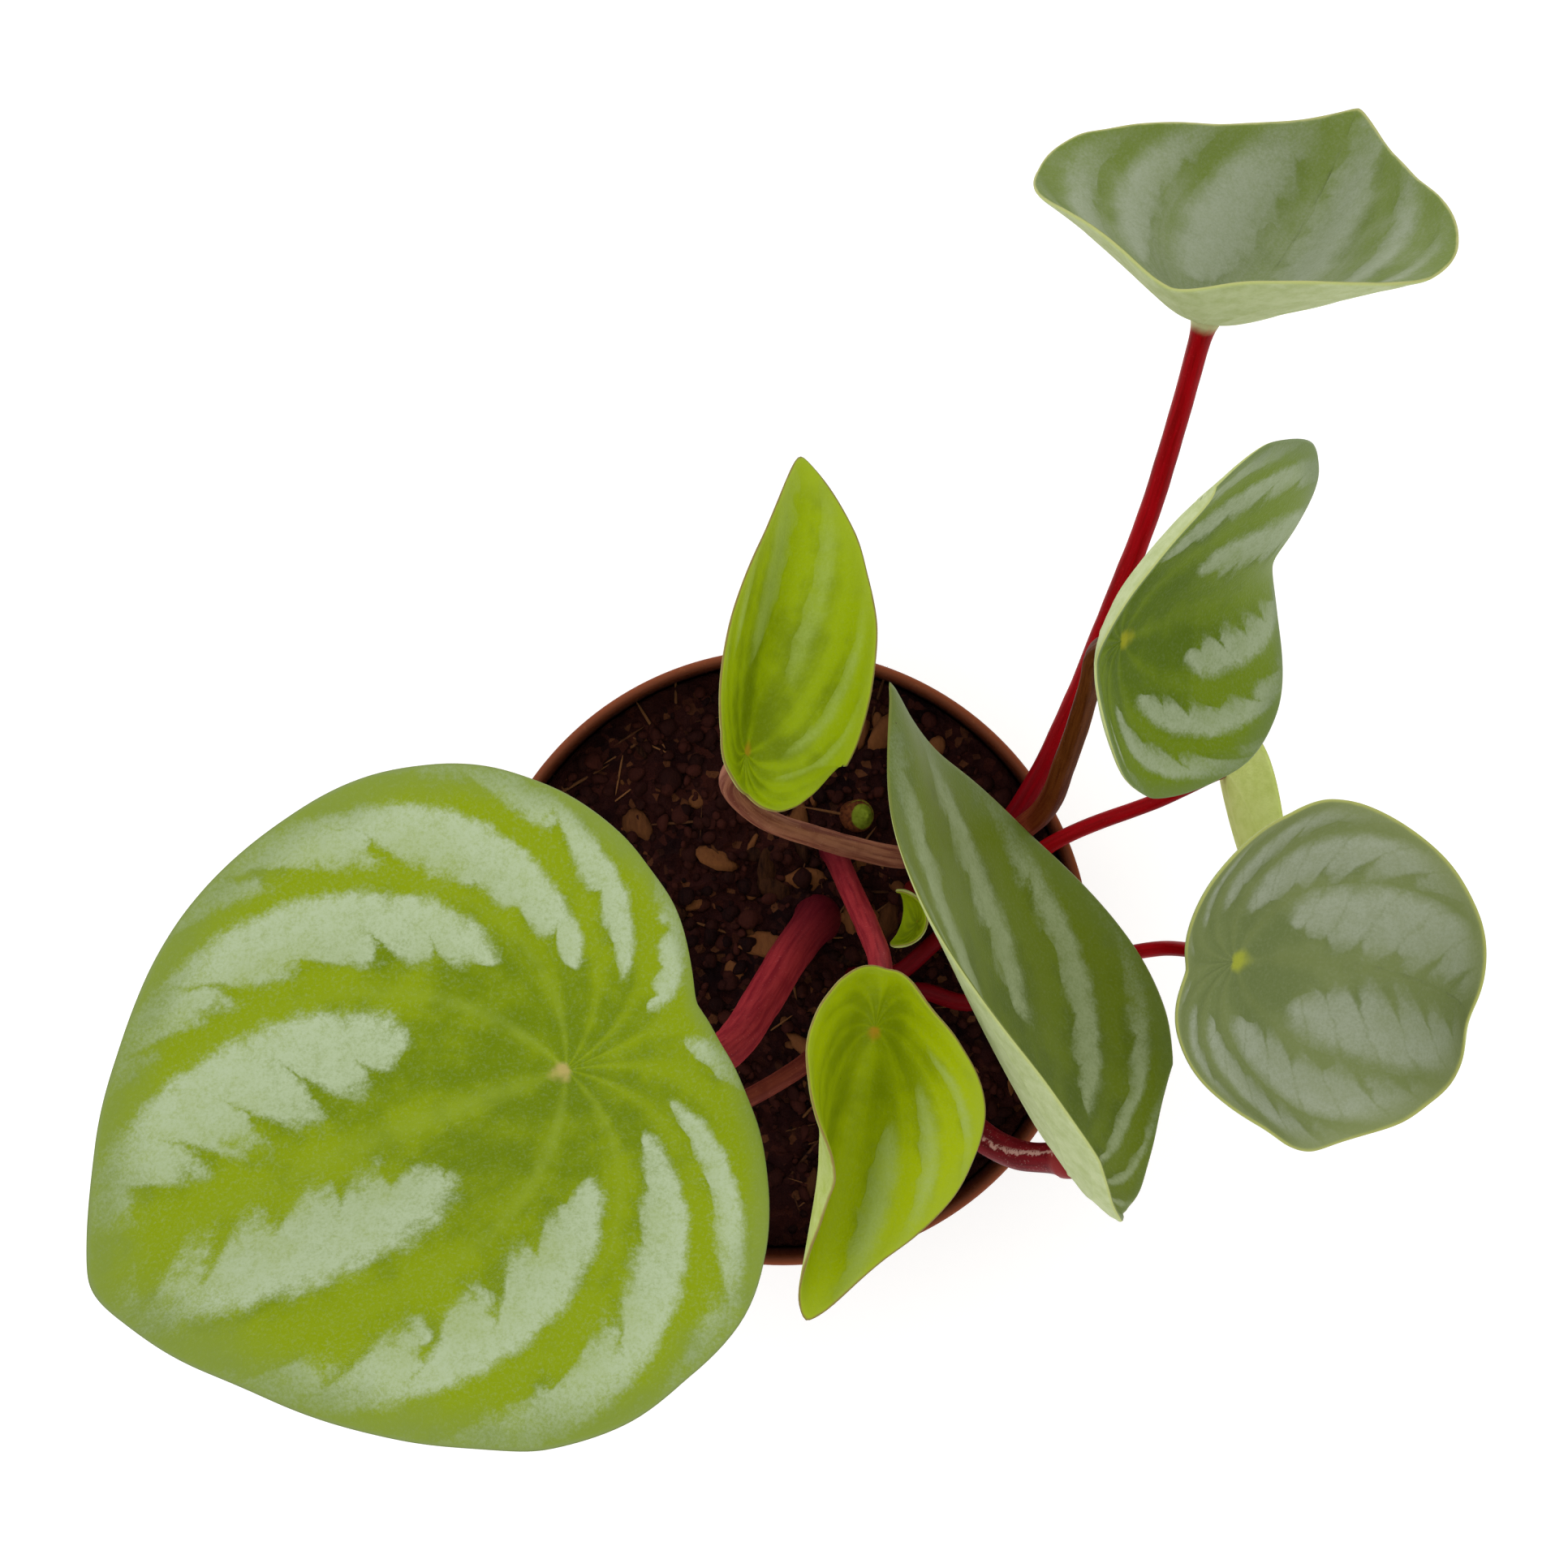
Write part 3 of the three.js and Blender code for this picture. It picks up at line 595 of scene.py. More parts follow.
def make_stalk(name, leaf, material, slot, ridges):
    """A tapered rod with a swollen foot, a flare at the blade and a slightly uneven skin."""
    start = [*leaf["via"][0][:2], SOIL_LEVEL - ROOT_DEPTH]
    centre, up = blade_top(leaf, np.zeros(1), np.zeros(1))
    end = centre[0] - up[0] * leaf["thick"] / 2
    centres, forward, stops = even_stations(smooth_route([start, *leaf["via"], end]), STALK_SPACING)
    forward[0] = (0, 0, 1)
    low, high = leaf["radius"]
    length = stops[-1]
    steps = np.arange(1, PAST_RINGS + 1)
    past = steps * PAST_BLADE * high / PAST_RINGS
    centres = np.vstack([centres, centres[-1] + forward[-1] * past[:, None]])
    forward = np.vstack([forward, np.repeat(forward[-1:], PAST_RINGS, axis=0)])
    stops = np.append(stops, length + past)
    left = np.maximum(length - stops, 0)
    radius = high + (low - high) * left / length
    radius = radius + FLARE * high * np.exp(-left / FLARE_LENGTH)
    radius[-PAST_RINGS:] *= np.sqrt(1 - (steps / (PAST_RINGS + 0.2)) ** 4)
    radius = radius * (1 + FOOT_SWELL * np.exp(-((stops - ROOT_DEPTH) / FOOT_LENGTH) ** 2))
    around = np.linspace(0, 2 * np.pi, STALK_SIDES, endpoint=False)
    upwards = stops[:, None]
    uneven = SKIN_WAVE * unevenness(upwards, 2 * np.cos(around), 2.5, low)
    uneven = uneven + ridges * np.cos(RIDGES * around + 0.02 * upwards)
    radii = radius[:, None] * (1 + uneven)
    rings = press_below(rod(centres, forward, radii, around), leaf)
    tip = press_below(rings[-1].mean(0), leaf)
    made = new_mesh_object(name + "_stalk_fine", *skin(rings, centres[:1], tip))
    straight = skin_field(radii * np.cos(around), radii * np.sin(around), upwards,
                          last=[0, 0, length])
    add_field(made, "straight", straight * MM)
    to_blade = np.concatenate([[length], np.repeat(left, STALK_SIDES), [0]])
    add_field(made, "to_blade", to_blade * MM)
    dress(made, [material], slot, name + "_stalk")


# %% [markdown]
# ## Signals
# A material is a small program of nodes. Here a node's output is a signal, and arithmetic with
# signals adds the nodes that work it out, so each recipe below reads like a formula. It is
# worked out at every point of a surface when the picture is made.


# %% Signals
LIGHT_FROM_ABOVE = 1.15


def paint(red, green, blue):
    """A colour as seen from above, from 0 to 255, turned to the linear share of light that the
    surface sends back, under lamps that together are a little brighter than white."""
    seen = np.array([red, green, blue]) / 255
    linear = np.where(seen <= 0.04045, seen / 12.92, ((seen + 0.055) / 1.055) ** 2.4)
    return (*(linear / LIGHT_FROM_ABOVE).tolist(), 1.0)


def painted(value):
    """A tuple is a colour to paint. Anything else stays as it is."""
    return paint(*value) if isinstance(value, tuple) else value


def feed(socket, value):
    """Links a signal to an input, or sets a number or a colour on it."""
    if isinstance(value, Signal):
        socket.id_data.links.new(value.socket, socket)
    elif value is not None:
        socket.default_value = value


def add_node(tree, kind, *values, out=0, **settings):
    """The signal of a new node, whose inputs get the values in their order."""
    node = tree.nodes.new(kind)
    for name, value in settings.items():
        setattr(node, name, value)
    for socket, value in zip(node.inputs, values):
        feed(socket, value)
    return Signal(node.outputs[out])


class Signal:
    """A node's output, with the steps that add further nodes to its tree."""

    def __init__(self, socket):
        self.socket = socket

    def then(self, kind, *values, **settings):
        """A further node in the same tree."""
        return add_node(self.socket.id_data, kind, *values, **settings)

    def math(self, operation, *others):
        return self.then("ShaderNodeMath", self, *others, operation=operation)

    def __add__(self, other):
        return self.math("ADD", other)

    def __sub__(self, other):
        return self.math("SUBTRACT", other)

    def __rsub__(self, other):
        return self.then("ShaderNodeMath", other, self, operation="SUBTRACT")

    def __mul__(self, other):
        return self.math("MULTIPLY", other)

    def __truediv__(self, other):
        return self.math("DIVIDE", other)

    def __rtruediv__(self, other):
        return self.then("ShaderNodeMath", other, self, operation="DIVIDE")

    def __abs__(self):
        return self.math("ABSOLUTE")

    def ramp(self, low, high, start=0.0, end=1.0):
        """Changes smoothly from start to end while the signal goes from low to high."""
        return self.then("ShaderNodeMapRange", self, low, high, start, end,
                         interpolation_type="SMOOTHSTEP")

    def mix(self, first, second):
        """A colour between two, where the signal is the second one's share."""
        return self.then("ShaderNodeMix", self, *[None] * 5, painted(first), painted(second),
                         out=2, data_type="RGBA")

    def noise(self, scale, detail=2.0, roughness=0.5):
        """Cloudy values about a half, for a signal that is a place."""
        return self.then("ShaderNodeTexNoise", self, None, scale, detail, roughness)

    def scaled(self, *factors):
        """The place with each axis stretched. A small factor makes long streaks along it."""
        return self.then("ShaderNodeVectorMath", self, factors, operation="MULTIPLY")

    def parts(self, kind="XYZ"):
        """The three numbers of a vector or a colour."""
        separate = self.then("ShaderNodeSeparate" + kind, self).socket.node
        return [Signal(socket) for socket in separate.outputs]

    def luck(self, out=0):
        """Chance that is the same wherever the signal is: one number, or three as a colour."""
        return self.then("ShaderNodeTexWhiteNoise", None, self, noise_dimensions="1D", out=out)

    def cells(self, scale):
        """Uneven cells: the distance to the nearest one's middle, and its three tones."""
        distance = self.then("ShaderNodeTexVoronoi", self, None, scale)
        return distance, Signal(distance.socket.node.outputs["Color"]).parts("Color")


# %% Groups and materials
def new_group(name, vector, color, value):
    """An empty node group with inputs of three kinds, and their signals by name."""
    tree = bpy.data.node_groups.new(name, "ShaderNodeTree")
    for kind, titles in (("Vector", vector), ("Color", color), ("Float", value)):
        for title in titles.split():
            tree.interface.new_socket(title, in_out="INPUT", socket_type="NodeSocket" + kind)
    start = tree.nodes.new("NodeGroupInput")
    return tree, {socket.name: Signal(socket) for socket in start.outputs}


def finish_group(tree, **results):
    """Gives a group its outputs. The one named color is a colour, the others are numbers."""
    for title in results:
        kind = "NodeSocketColor" if title == "color" else "NodeSocketFloat"
        tree.interface.new_socket(title, in_out="OUTPUT", socket_type=kind)
    end = tree.nodes.new("NodeGroupOutput")
    for title, result in results.items():
        feed(end.inputs[title], result)
    print(f"{tree.name}: {len(tree.nodes)} nodes")


def use_group(tree, group, **values):
    """Places a group in a material, feeds the inputs that it has, and gives its outputs."""
    node = tree.nodes.new("ShaderNodeGroup")
    node.node_tree = group
    for socket in node.inputs:
        feed(socket, painted(values.get(socket.name)))
    return {socket.name: Signal(socket) for socket in node.outputs}


def new_material(name, roughness, specular=0.2):
    """A material, its tree and its shader's inputs, with the even values set straight on them."""
    material = bpy.data.materials.new(name)
    material.use_nodes = True
    shader = material.node_tree.nodes["Principled BSDF"].inputs
    shader["Roughness"].default_value = roughness
    shader["Specular IOR Level"].default_value = specular
    return material, material.node_tree, shader


def object_place(tree):
    """Object coordinates, in metres in the part's frame."""
    return add_node(tree, "ShaderNodeTexCoord", out=3)


def field(tree, name, out=1):
    """A field that the mesh stores, as a vector from output 1 or a number from output 2."""
    return add_node(tree, "ShaderNodeAttribute", attribute_name=name, out=out)


def relief(shader, height, distance):
    """A bump of the given height in metres, fed to the shader's normal."""
    bump = height.then("ShaderNodeBump").socket.node
    bump.inputs["Distance"].default_value = distance
    feed(bump.inputs["Height"], height)
    feed(shader["Normal"], Signal(bump.outputs["Normal"]))


# %% [markdown]
# ## Stripes between the veins
# The band table gives each band's place and width. This group paints it: the side that faces
# away from the midrib is smooth, and short side veins cut green wedges into the other one. At
# its edges a band breaks up into single specks of air, which noise imitates. All of it follows
# the vein grid: the count of veins from the midrib and the share of the way out.

# %% The stripe group
stripes, given = new_group(
    "stripes_between_veins", "veins bands place", "green deep silver bloom",
    "amount wedges netting softness haze rim")
count, out, side = given["veins"].parts()
shift, width, density = given["bands"].parts()
place, softness = given["place"], given["softness"]
broad = place.noise(150, 2) - 0.5
middling = place.noise(520, 3) - 0.5
grain = place.noise(2300, 3, 0.7) - 0.5
streak = given["veins"].scaled(16, 2.2, 9).noise(1, 3, 0.6) - 0.5

# the cell between two veins, and where a point lies across its band
shifted = count + broad * 0.16
cell = shifted.math("FLOOR")
across = shifted - cell - 0.5 - shift
cell_name = cell + side * 7.3

# wedges that short side veins cut in, each with its own length and opening
slant = out * 8 + cell_name.luck() * 3 - across * 3 + broad * 0.9 + middling * 0.3
wedge_name = slant.math("FLOOR") + cell_name * 13.7
luck = wedge_name.luck(out=1).parts("Color")
length = (luck[0] + 0.1) * given["wedges"] * width
inwards = (across + width) / (length + 0.001)
opening = (1 - inwards) * (luck[1] * 0.2 + 0.12)
beside = abs(slant.math("FRACT") - 0.5)
wedge = (beside - opening).ramp(-0.12, 0.12)
netting = beside.ramp(0, 0.12, 1, 0) * given["netting"]

# the band between its two soft edges, broken up by the grain
rise = (width + across + middling * 0.25) / (softness * 0.2 + 0.28) + 0.5
fall = (width - across + middling * 0.1) / (softness * 0.2 + 0.17) + 0.5
covered = rise.ramp(0, 1) * fall.ramp(0, 1) * (wedge * density * (1 - netting))
halo = rise.ramp(-0.8, 1) * fall.ramp(-0.8, 1)
fuzz = (grain * 1.3 + middling * 0.7) * halo * (1 - softness * 0.55)
spread = softness * 0.1 + 0.5
band = (covered + fuzz).ramp(0.5 - spread, spread + 0.5)
band = band * width.ramp(0, 0.08) * density.ramp(0, 0.3)
speckle = (grain + middling * 0.6).ramp(-0.25, 0.22, 0.75, 1)
swell = (across / (width + 0.05) + broad * 2).ramp(-1.1, 0.4, 0.72, 1)
silvered = band * given["amount"] * (swell * speckle)

# the green beside it, deeper near the stalk, with painted sheen on top and a pale rim
from_vein = abs(shifted.math("FRACT") - 0.5)
shade = 0.4 - out + middling * 0.7 + (broad * 1.6 + streak * 0.35)
shade = shade + from_vein.ramp(0.15, 0.5, 0.2, -0.25)
green = shade.ramp(-0.55, 0.6).mix(given["green"], given["deep"])
green = (grain.ramp(-0.05, 0.3) * 0.16).mix(green, given["silver"])
# painted sheen: a grey-green veil, strongest towards the stalk, where the lamp glances off the leaf
sheen_share = (grain + streak).ramp(-0.3, 0.3, 0.6, 1) * (out + broad).ramp(0.45, 1, 1, 0.25)
green = (given["haze"] * sheen_share).mix(green, given["bloom"])
striped = silvered.mix(green, given["silver"])
# the pale rim is partly the margin's own paler tone and partly painted sheen
reached = out + (broad * 0.12 + middling * 0.06)
color = (reached.ramp(0.84, 1) * given["rim"]).mix(striped, given["bloom"])
finish_group(stripes, color=color, band=silvered, height=band * 0.35 + grain * 0.5)

# %% [markdown]
# ## Veins, the stalk's mark and the margin
# From the small mark over the stalk, soft light lines run out along the veins and fade. The
# margin ends in a thin line of its own colour. These sit on top of any stripe, on every leaf.

# %% The vein group
vein_lines, given = new_group(
    "veins_and_margin", "veins place", "base line spot margin", "lines spot_size edge")
count, out, side = given["veins"].parts()
wobble = given["place"].noise(420, 3) - 0.5
off = count + wobble * 0.1
off = abs(off - off.math("ROUND"))
line = (off / (0.05 / (out + 0.12))).ramp(0, 1, 1, 0) * given["lines"]
line = line * out.ramp(0.15, 0.7, 1, 0.2) * out.ramp(0.03, 0.16, 0.4, 1)
line = line * count.ramp(1.3, 3, 1, 0.35) * wobble.ramp(-0.25, 0.15, 0.5, 1)
color = line.mix(given["base"], given["line"])
spot = (out + wobble * 0.06) / given["spot_size"]
color = spot.ramp(0.25, 1.2, 0.85, 0).mix(color, given["spot"])
edge = (out + wobble * 0.01).ramp(1 - given["edge"], 1)
finish_group(vein_lines, color=edge.mix(color, given["margin"]), line=line)

# %% [markdown]
# ## Marks
# Real leaves carry small flaws: a brown fleck, a scuff, a dark speck. A scatter of tiny round
# cells, most of them switched off, gives specks of uneven size on any surface.

# %% The speck group
specks, given = new_group("specks", "place", "base speck", "scale share size")
distance, pick = given["place"].cells(given["scale"])
chosen = pick[0].math("LESS_THAN", given["share"])
size = given["size"] * (pick[1] * 0.8 + 0.3)
spot = (1 - distance / size).ramp(0, 0.5) * chosen
finish_group(specks, color=spot.mix(given["base"], given["speck"]))

# %% [markdown]
# ## Leaf materials
# One recipe makes the top of every leaf, from its own colours: fresh and bright on the big
# leaf, dark on the folded one, greyed with painted sheen where a leaf tilts away under the
# light, and yellow-green on the young ones. The underside is pale and dull with darker net
# veins. The lower young leaf's top and the shaded leaf's underside are painted lighter still,
# as painted light against the shade they lie in.

# %% The colours of leaves
TOP_COLUMNS = ("green", "deep", "silver", "bloom", "line", "spot", "margin", "amount", "wedges",
               "netting", "softness", "haze", "rim", "lines", "spot_size", "edge")
TOPS = {
    "bright": [(138, 158, 6), (108, 130, 0), (182, 197, 158), (128, 146, 76), (146, 166, 60),
               (190, 170, 104), (134, 150, 84), 1, 1.05, 0.04, 0.2, 0, 0.6, 0.4, 0.03, 0.012],
    "dark": [(102, 118, 14), (84, 100, 22), (150, 162, 118), (106, 122, 84), (104, 118, 60),
             (150, 160, 80), (120, 128, 60), 1, 0.6, 0.05, 0.6, 0.1, 0.3, 0.15, 0.03, 0.012],
    "crisp": [(104, 126, 0), (82, 104, 0), (154, 166, 130), (104, 120, 76), (116, 136, 20),
              (160, 160, 20), (124, 140, 92), 1, 0.9, 0.06, 0.5, 0, 0.55, 0.15, 0.06, 0.012],
    # the next two rows grey the green and veil it with painted sheen, for leaves that tilt away under
    # the lamp
    "sheen_greyed": [(124, 136, 82), (106, 120, 68), (168, 175, 152), (138, 148, 96), (120, 130, 70),
             (176, 182, 60), (176, 180, 100), 0.9, 0.7, 0.28, 1.1, 0.25, 0.7, 0.25, 0.07, 0.02],
    "sheen_misted": [(106, 126, 32), (94, 112, 40), (164, 172, 148), (148, 157, 126), (126, 140, 86),
              (150, 160, 80), (190, 190, 124), 0.85, 0.25, 0.08, 1.3, 0.75, 0, 0.1, 0.03, 0.012],
    "young": [(154, 176, 0), (114, 134, 0), (172, 192, 92), (156, 174, 50), (124, 146, 0),
              (176, 140, 30), (138, 120, 66), 0.75, 0.2, 0, 1.35, 0.03, 0.45, 0.12, 0.05, 0.012],
    # the next row is the young green painted lighter: painted light against the shade over the lower
    # young leaf
    "fresh": [(162, 180, 0), (132, 150, 0), (168, 186, 100), (156, 174, 54), (130, 150, 0),
              (186, 140, 30), (138, 120, 66), 0.85, 0.2, 0, 1.2, 0, 0.45, 0.25, 0.05, 0.012],
}
UNDER_COLUMNS = ("pale", "deep", "line", "margin", "speck")
UNDERSIDES = {
    "pale": [(198, 208, 158), (178, 190, 130), (206, 214, 162), (186, 194, 120), (140, 140, 104)],
    # the next row is the pale underside painted much lighter: painted light against the shade a
    # neighbouring leaf casts
    "lifted_from_shade": [(236, 248, 156), (220, 234, 130), (240, 250, 164), (206, 216, 120),
               (134, 124, 70)],
    "fresh": [(198, 210, 132), (180, 196, 92), (200, 214, 140), (150, 130, 70), (150, 150, 80)],
}


print("tops:", *TOPS, "undersides:", *UNDERSIDES)

# %% Tops and undersides of leaves
LEAF_GLOSS = 0.06
LEAF_ROUGHNESS = 0.46
SILVER_ROUGHER = 0.12
TOP_RELIEF = 0.00012
UNDER_RELIEF = 0.0001
BROWN_FLECK = (70, 62, 30)


def leaf_top(name, looks):
    """Stripes, then veins and margin, then brown flecks, with a bump that follows the bands."""
    material, tree, shader = new_material(f"leaf_{name}_top", LEAF_ROUGHNESS, LEAF_GLOSS)
    looks = dict(looks, veins=field(tree, "veins"), bands=field(tree, "bands"),
                 place=object_place(tree))
    banded = use_group(tree, stripes, **looks)
    lined = use_group(tree, vein_lines, base=banded["color"], **looks)
    flecked = use_group(tree, specks, place=looks["place"], base=lined["color"],
                        speck=BROWN_FLECK, scale=140.0, share=0.05, size=0.04)
    feed(shader["Base Color"], flecked["color"])
    feed(shader["Roughness"], banded["band"] * SILVER_ROUGHER + LEAF_ROUGHNESS)
    relief(shader, banded["height"] - lined["line"] * 0.6, TOP_RELIEF)
    return material


def leaf_underside(name, looks):
    """A pale mottled skin with faint veins and grey specks."""
    material, tree, shader = new_material(f"leaf_{name}_under", 0.6, LEAF_GLOSS)
    place = object_place(tree)
    base = place.noise(420, 4, 0.65).ramp(0.3, 0.75).mix(looks["pale"], looks["deep"])
    lined = use_group(tree, vein_lines, veins=field(tree, "veins"), place=place, base=base,
                      spot=looks["line"], lines=0.8, spot_size=0.05, edge=0.02, **looks)
    flecked = use_group(tree, specks, place=place, base=lined["color"], speck=looks["speck"],
                        scale=300.0, share=0.3, size=0.08)
    feed(shader["Base Color"], flecked["color"])
    relief(shader, place.noise(2600, 3), UNDER_RELIEF)
    return material


tops = {name: leaf_top(name, dict(zip(TOP_COLUMNS, row))) for name, row in TOPS.items()}
undersides = {name: leaf_underside(name, dict(zip(UNDER_COLUMNS, row)))
              for name, row in UNDERSIDES.items()}
print("leaf materials:", len(tops) + len(undersides))

# %% [markdown]
# ## Stalk materials
# The stalks are crimson to brown, smooth and slightly glossy. Fine streaks run along them, tiny
# pale specks dot them, and they fade to green where they meet the blade. Towards the soil they
# darken, partly their own darker base and partly painted shade under the crown. Streaks must
# run along the bent stalk, so the material reads the field in which the stalk lies straight.

# %% The streak group
BURIED = 0.0085

streaks, given = new_group(
    "streaks_along_stalk", "straight", "main second pale top foot", "to_blade fade peel")
straight = given["straight"]
sideways, upwards, along = straight.parts()
streak = straight.scaled(1, 1, 0.06).noise(1800, 3, 0.6)
blotch = straight.noise(260, 3)
fine = straight.noise(3400, 1)
ragged = straight.noise(900, 4, 0.7) - 0.5
color = streak.ramp(0.35, 0.7).mix(given["main"], given["second"])
color = (blotch.ramp(0.5, 0.75) * 0.5).mix(color, given["second"])
color = (fine.ramp(0.66, 0.74) * 0.3).mix(color, given["pale"])
near_blade = given["to_blade"] + (blotch - 0.5) * 0.002
color = near_blade.ramp(-0.0006, 0.0017, 1, 0).mix(color, given["top"])
# the foot colour towards the soil: partly the stalk's own darker base, partly painted shade under the
# crown
above_foot = (along + (blotch - 0.5) * 0.006 - BURIED) / given["fade"]
color = above_foot.ramp(0, 1, 0.8, 0).mix(color, given["foot"])
torn = abs(sideways + ragged * 0.0022).ramp(0.0001, 0.0004, 1, 0) * upwards.ramp(0, 0.0006)
torn = torn * ragged.ramp(-0.12, 0.02)
color = (torn * given["peel"]).mix(color, given["pale"])
finish_group(streaks, color=color, height=streak * 0.8 + fine * 0.3)

# %% Stalk materials
STALK_GLOSS = 0.05
STALK_COLUMNS = ("main", "second", "pale", "top", "foot", "fade", "peel")
STALKS = {
    "dusky": [(164, 50, 56), (130, 28, 40), (204, 120, 118), (184, 190, 134), (64, 8, 22),
              0.02, 0],
    "crimson": [(162, 0, 12), (132, 0, 4), (190, 40, 46), (196, 206, 154), (58, 6, 18),
                0.045, 0],
    "deep_red": [(118, 10, 22), (88, 2, 10), (206, 160, 150), (140, 44, 44), (64, 8, 20),
                 0.02, 0.8],
    "brown": [(108, 56, 20), (80, 34, 6), (150, 98, 58), (184, 192, 130), (104, 10, 20),
              0.05, 0],
    "rosy_brown": [(160, 104, 80), (112, 58, 46), (196, 150, 122), (170, 150, 90), (96, 36, 32),
                   0.02, 0],
    "russet": [(124, 58, 44), (92, 34, 28), (166, 104, 84), (160, 130, 84), (84, 24, 26),
               0.02, 0],
}
DULL_STALKS = {"brown": 0.55, "rosy_brown": 0.5, "russet": 0.5}
COARSE_STALKS = {"brown": 0.00014}


def stalk_finish(name, looks):
    """The streaks in the stalk's own colours, with the gloss and the bump of its kind."""
    material, tree, shader = new_material("stalk_" + name, DULL_STALKS.get(name, 0.4), STALK_GLOSS)
    streaked = use_group(tree, streaks, straight=field(tree, "straight"),
                         to_blade=field(tree, "to_blade", 2), **looks)
    feed(shader["Base Color"], streaked["color"])
    relief(shader, streaked["height"], COARSE_STALKS.get(name, 0.00008))
    return material


stalks = {name: stalk_finish(name, dict(zip(STALK_COLUMNS, row))) for name, row in STALKS.items()}
print("stalk materials:", list(stalks))

# %% [markdown]
# ## Leaves on their stalks
# Each leaf of the table now gets its blade and its stalk, with the finishes that fit its age
# and the way it faces the light.

# %% Leaves on their stalks
FINISHES = {
    "leaf_big": ("bright", "pale", "dusky", "leaf_mature", "stalk_red", 0.0),
    "leaf_young_top": ("young", "fresh", "rosy_brown", "leaf_young", "stalk_brown", 0.01),
    "leaf_young_low": ("fresh", "fresh", "dusky", "leaf_young", "stalk_red", 0.0),
    "leaf_folded": ("dark", "pale", "deep_red", "leaf_mature", "stalk_red", 0.0),
    "leaf_right_high": ("crisp", "pale", "brown", "leaf_mature", "stalk_brown", 0.035),
    "leaf_right_low": ("sheen_greyed", "pale", "crimson", "leaf_mature", "stalk_red", 0.0),
    "leaf_far": ("sheen_misted", "pale", "crimson", "leaf_mature", "stalk_red", 0.01),
    "leaf_shaded": ("sheen_greyed", "lifted_from_shade", "crimson", "leaf_mature", "stalk_red", 0.0),
    "leaf_under": ("dark", "pale", "russet", "leaf_mature", "stalk_red", 0.0),
    "leaf_curled": ("young", "fresh", "crimson", "leaf_young", "stalk_red", 0.0),
}
for name, leaf in LEAVES.items():
    top, under, stalk, blade_slot, stalk_slot, ridges = FINISHES[name]
    make_blade(name, leaf, tops[top], undersides[under], blade_slot)
    make_stalk(name, leaf, stalks[stalk], stalk_slot, ridges)

# %% [markdown]
# ## The bud
# Between the stalks the next shoot stands in the soil: a green point that breaks out of a
# brown papery sheath. It is a leaning cone of rings. A step in its radius, which winds up round
# it, is the edge of the wrapped sheath.

# %% The bud
BUD = dict(at=(10.0, 19.5), height=7.0, radius=2.2, lean=14.0)
BUD_OUTLINE = ([0, 0.35, 0.62, 0.86, 0.97, 1], [1, 1.05, 0.8, 0.38, 0.14, 0.03])
SHEATH_TURNS = 1.6
SHEATH_STEP = 0.1
BUD_FLATTER = 0.25

bud_up = np.linspace(-ROOT_DEPTH, BUD["height"], 90)[:, None]
bud_around = np.linspace(0, 2 * np.pi, 60, endpoint=False)
bud_share = np.clip(bud_up / BUD["height"], 0, 1)
turn = (bud_around / (2 * np.pi) + SHEATH_TURNS * bud_share) % 1
bud_radius = BUD["radius"] * np.interp(bud_share, *BUD_OUTLINE) / 1.05
bud_radius = bud_radius * (1 + SHEATH_STEP * turn * (1 - bud_share))
bud_radius = bud_radius * (1 + 0.03 * unevenness(bud_up, 2 * np.cos(bud_around), 1.2))
lean = math.radians(BUD["lean"])
bud_x = bud_radius * np.cos(bud_around) * (1 - BUD_FLATTER * bud_share)
bud_rings = np.stack([
    BUD["at"][0] + bud_x * math.cos(lean) + bud_up * math.sin(lean),
    BUD["at"][1] + bud_radius * np.sin(bud_around),
    SOIL_LEVEL - bud_x * math.sin(lean) + bud_up * math.cos(lean)], -1)
bud_fine = new_mesh_object("shoot_bud_fine", *skin(bud_rings))
add_field(bud_fine, "sheath", skin_field(turn, bud_share, bud_up, last=[0, 1, BUD["height"]]))

bud_finish, tree, shader = new_material("bud_sheath", 0.6, 0.05)
turn, height, _ = field(tree, "sheath").parts()
place = object_place(tree)
fibre = place.scaled(1, 1, 0.12).noise(2200, 3)
papery = fibre.ramp(0.3, 0.7).mix((112, 62, 34), (72, 34, 20))
# the shoot's dull dark green: partly its own olive tone, partly painted shade from the stalks and
# leaves over it
fresh = fibre.ramp(0.3, 0.8).mix((124, 138, 40), (98, 112, 22))
torn = height + (turn - 0.5) * 0.35 + (place.noise(900, 3) - 0.5) * 0.25
feed(shader["Base Color"], torn.ramp(0.5, 0.62).mix(papery, fresh))
relief(shader, fibre, 0.00015)
dress(bud_fine, [bud_finish], "bud_sheath", "shoot_bud")

# %% [markdown]
# ## The pot
# A nursery pot is one thin shell of brown plastic: a tapered body, a step out to a wider
# collar, a rolled lip, and a raised floor with drain holes. Its outline is turned round the
# axis. Small curves replace the outline's sharp corners, as on a moulded piece.

# %% The pot's outline
ROUNDING = 0.5
LONGEST = 3.0
POT_SIDES = 192
MIDDLE = 0.5

height, rim, lip, wall = POT["height"], POT["rim"], POT["lip"], POT["wall"]
foot, recess, pad, chamfer = POT["foot"], POT["recess"], POT["pad"], POT["chamfer"]
ring_inside = foot - POT["foot_ring"]
floor_top = recess + wall
collar_z = height - POT["collar_height"]
collar_radius = rim - POT["collar_taper"]
body_top = collar_radius - POT["step"]
pot_inside = np.array([
    [foot - wall + 0.1, floor_top], [body_top - wall, collar_z + wall / 2],
    [collar_radius - wall, collar_z + 1.6], [rim - lip / 2 - wall, height - lip]])


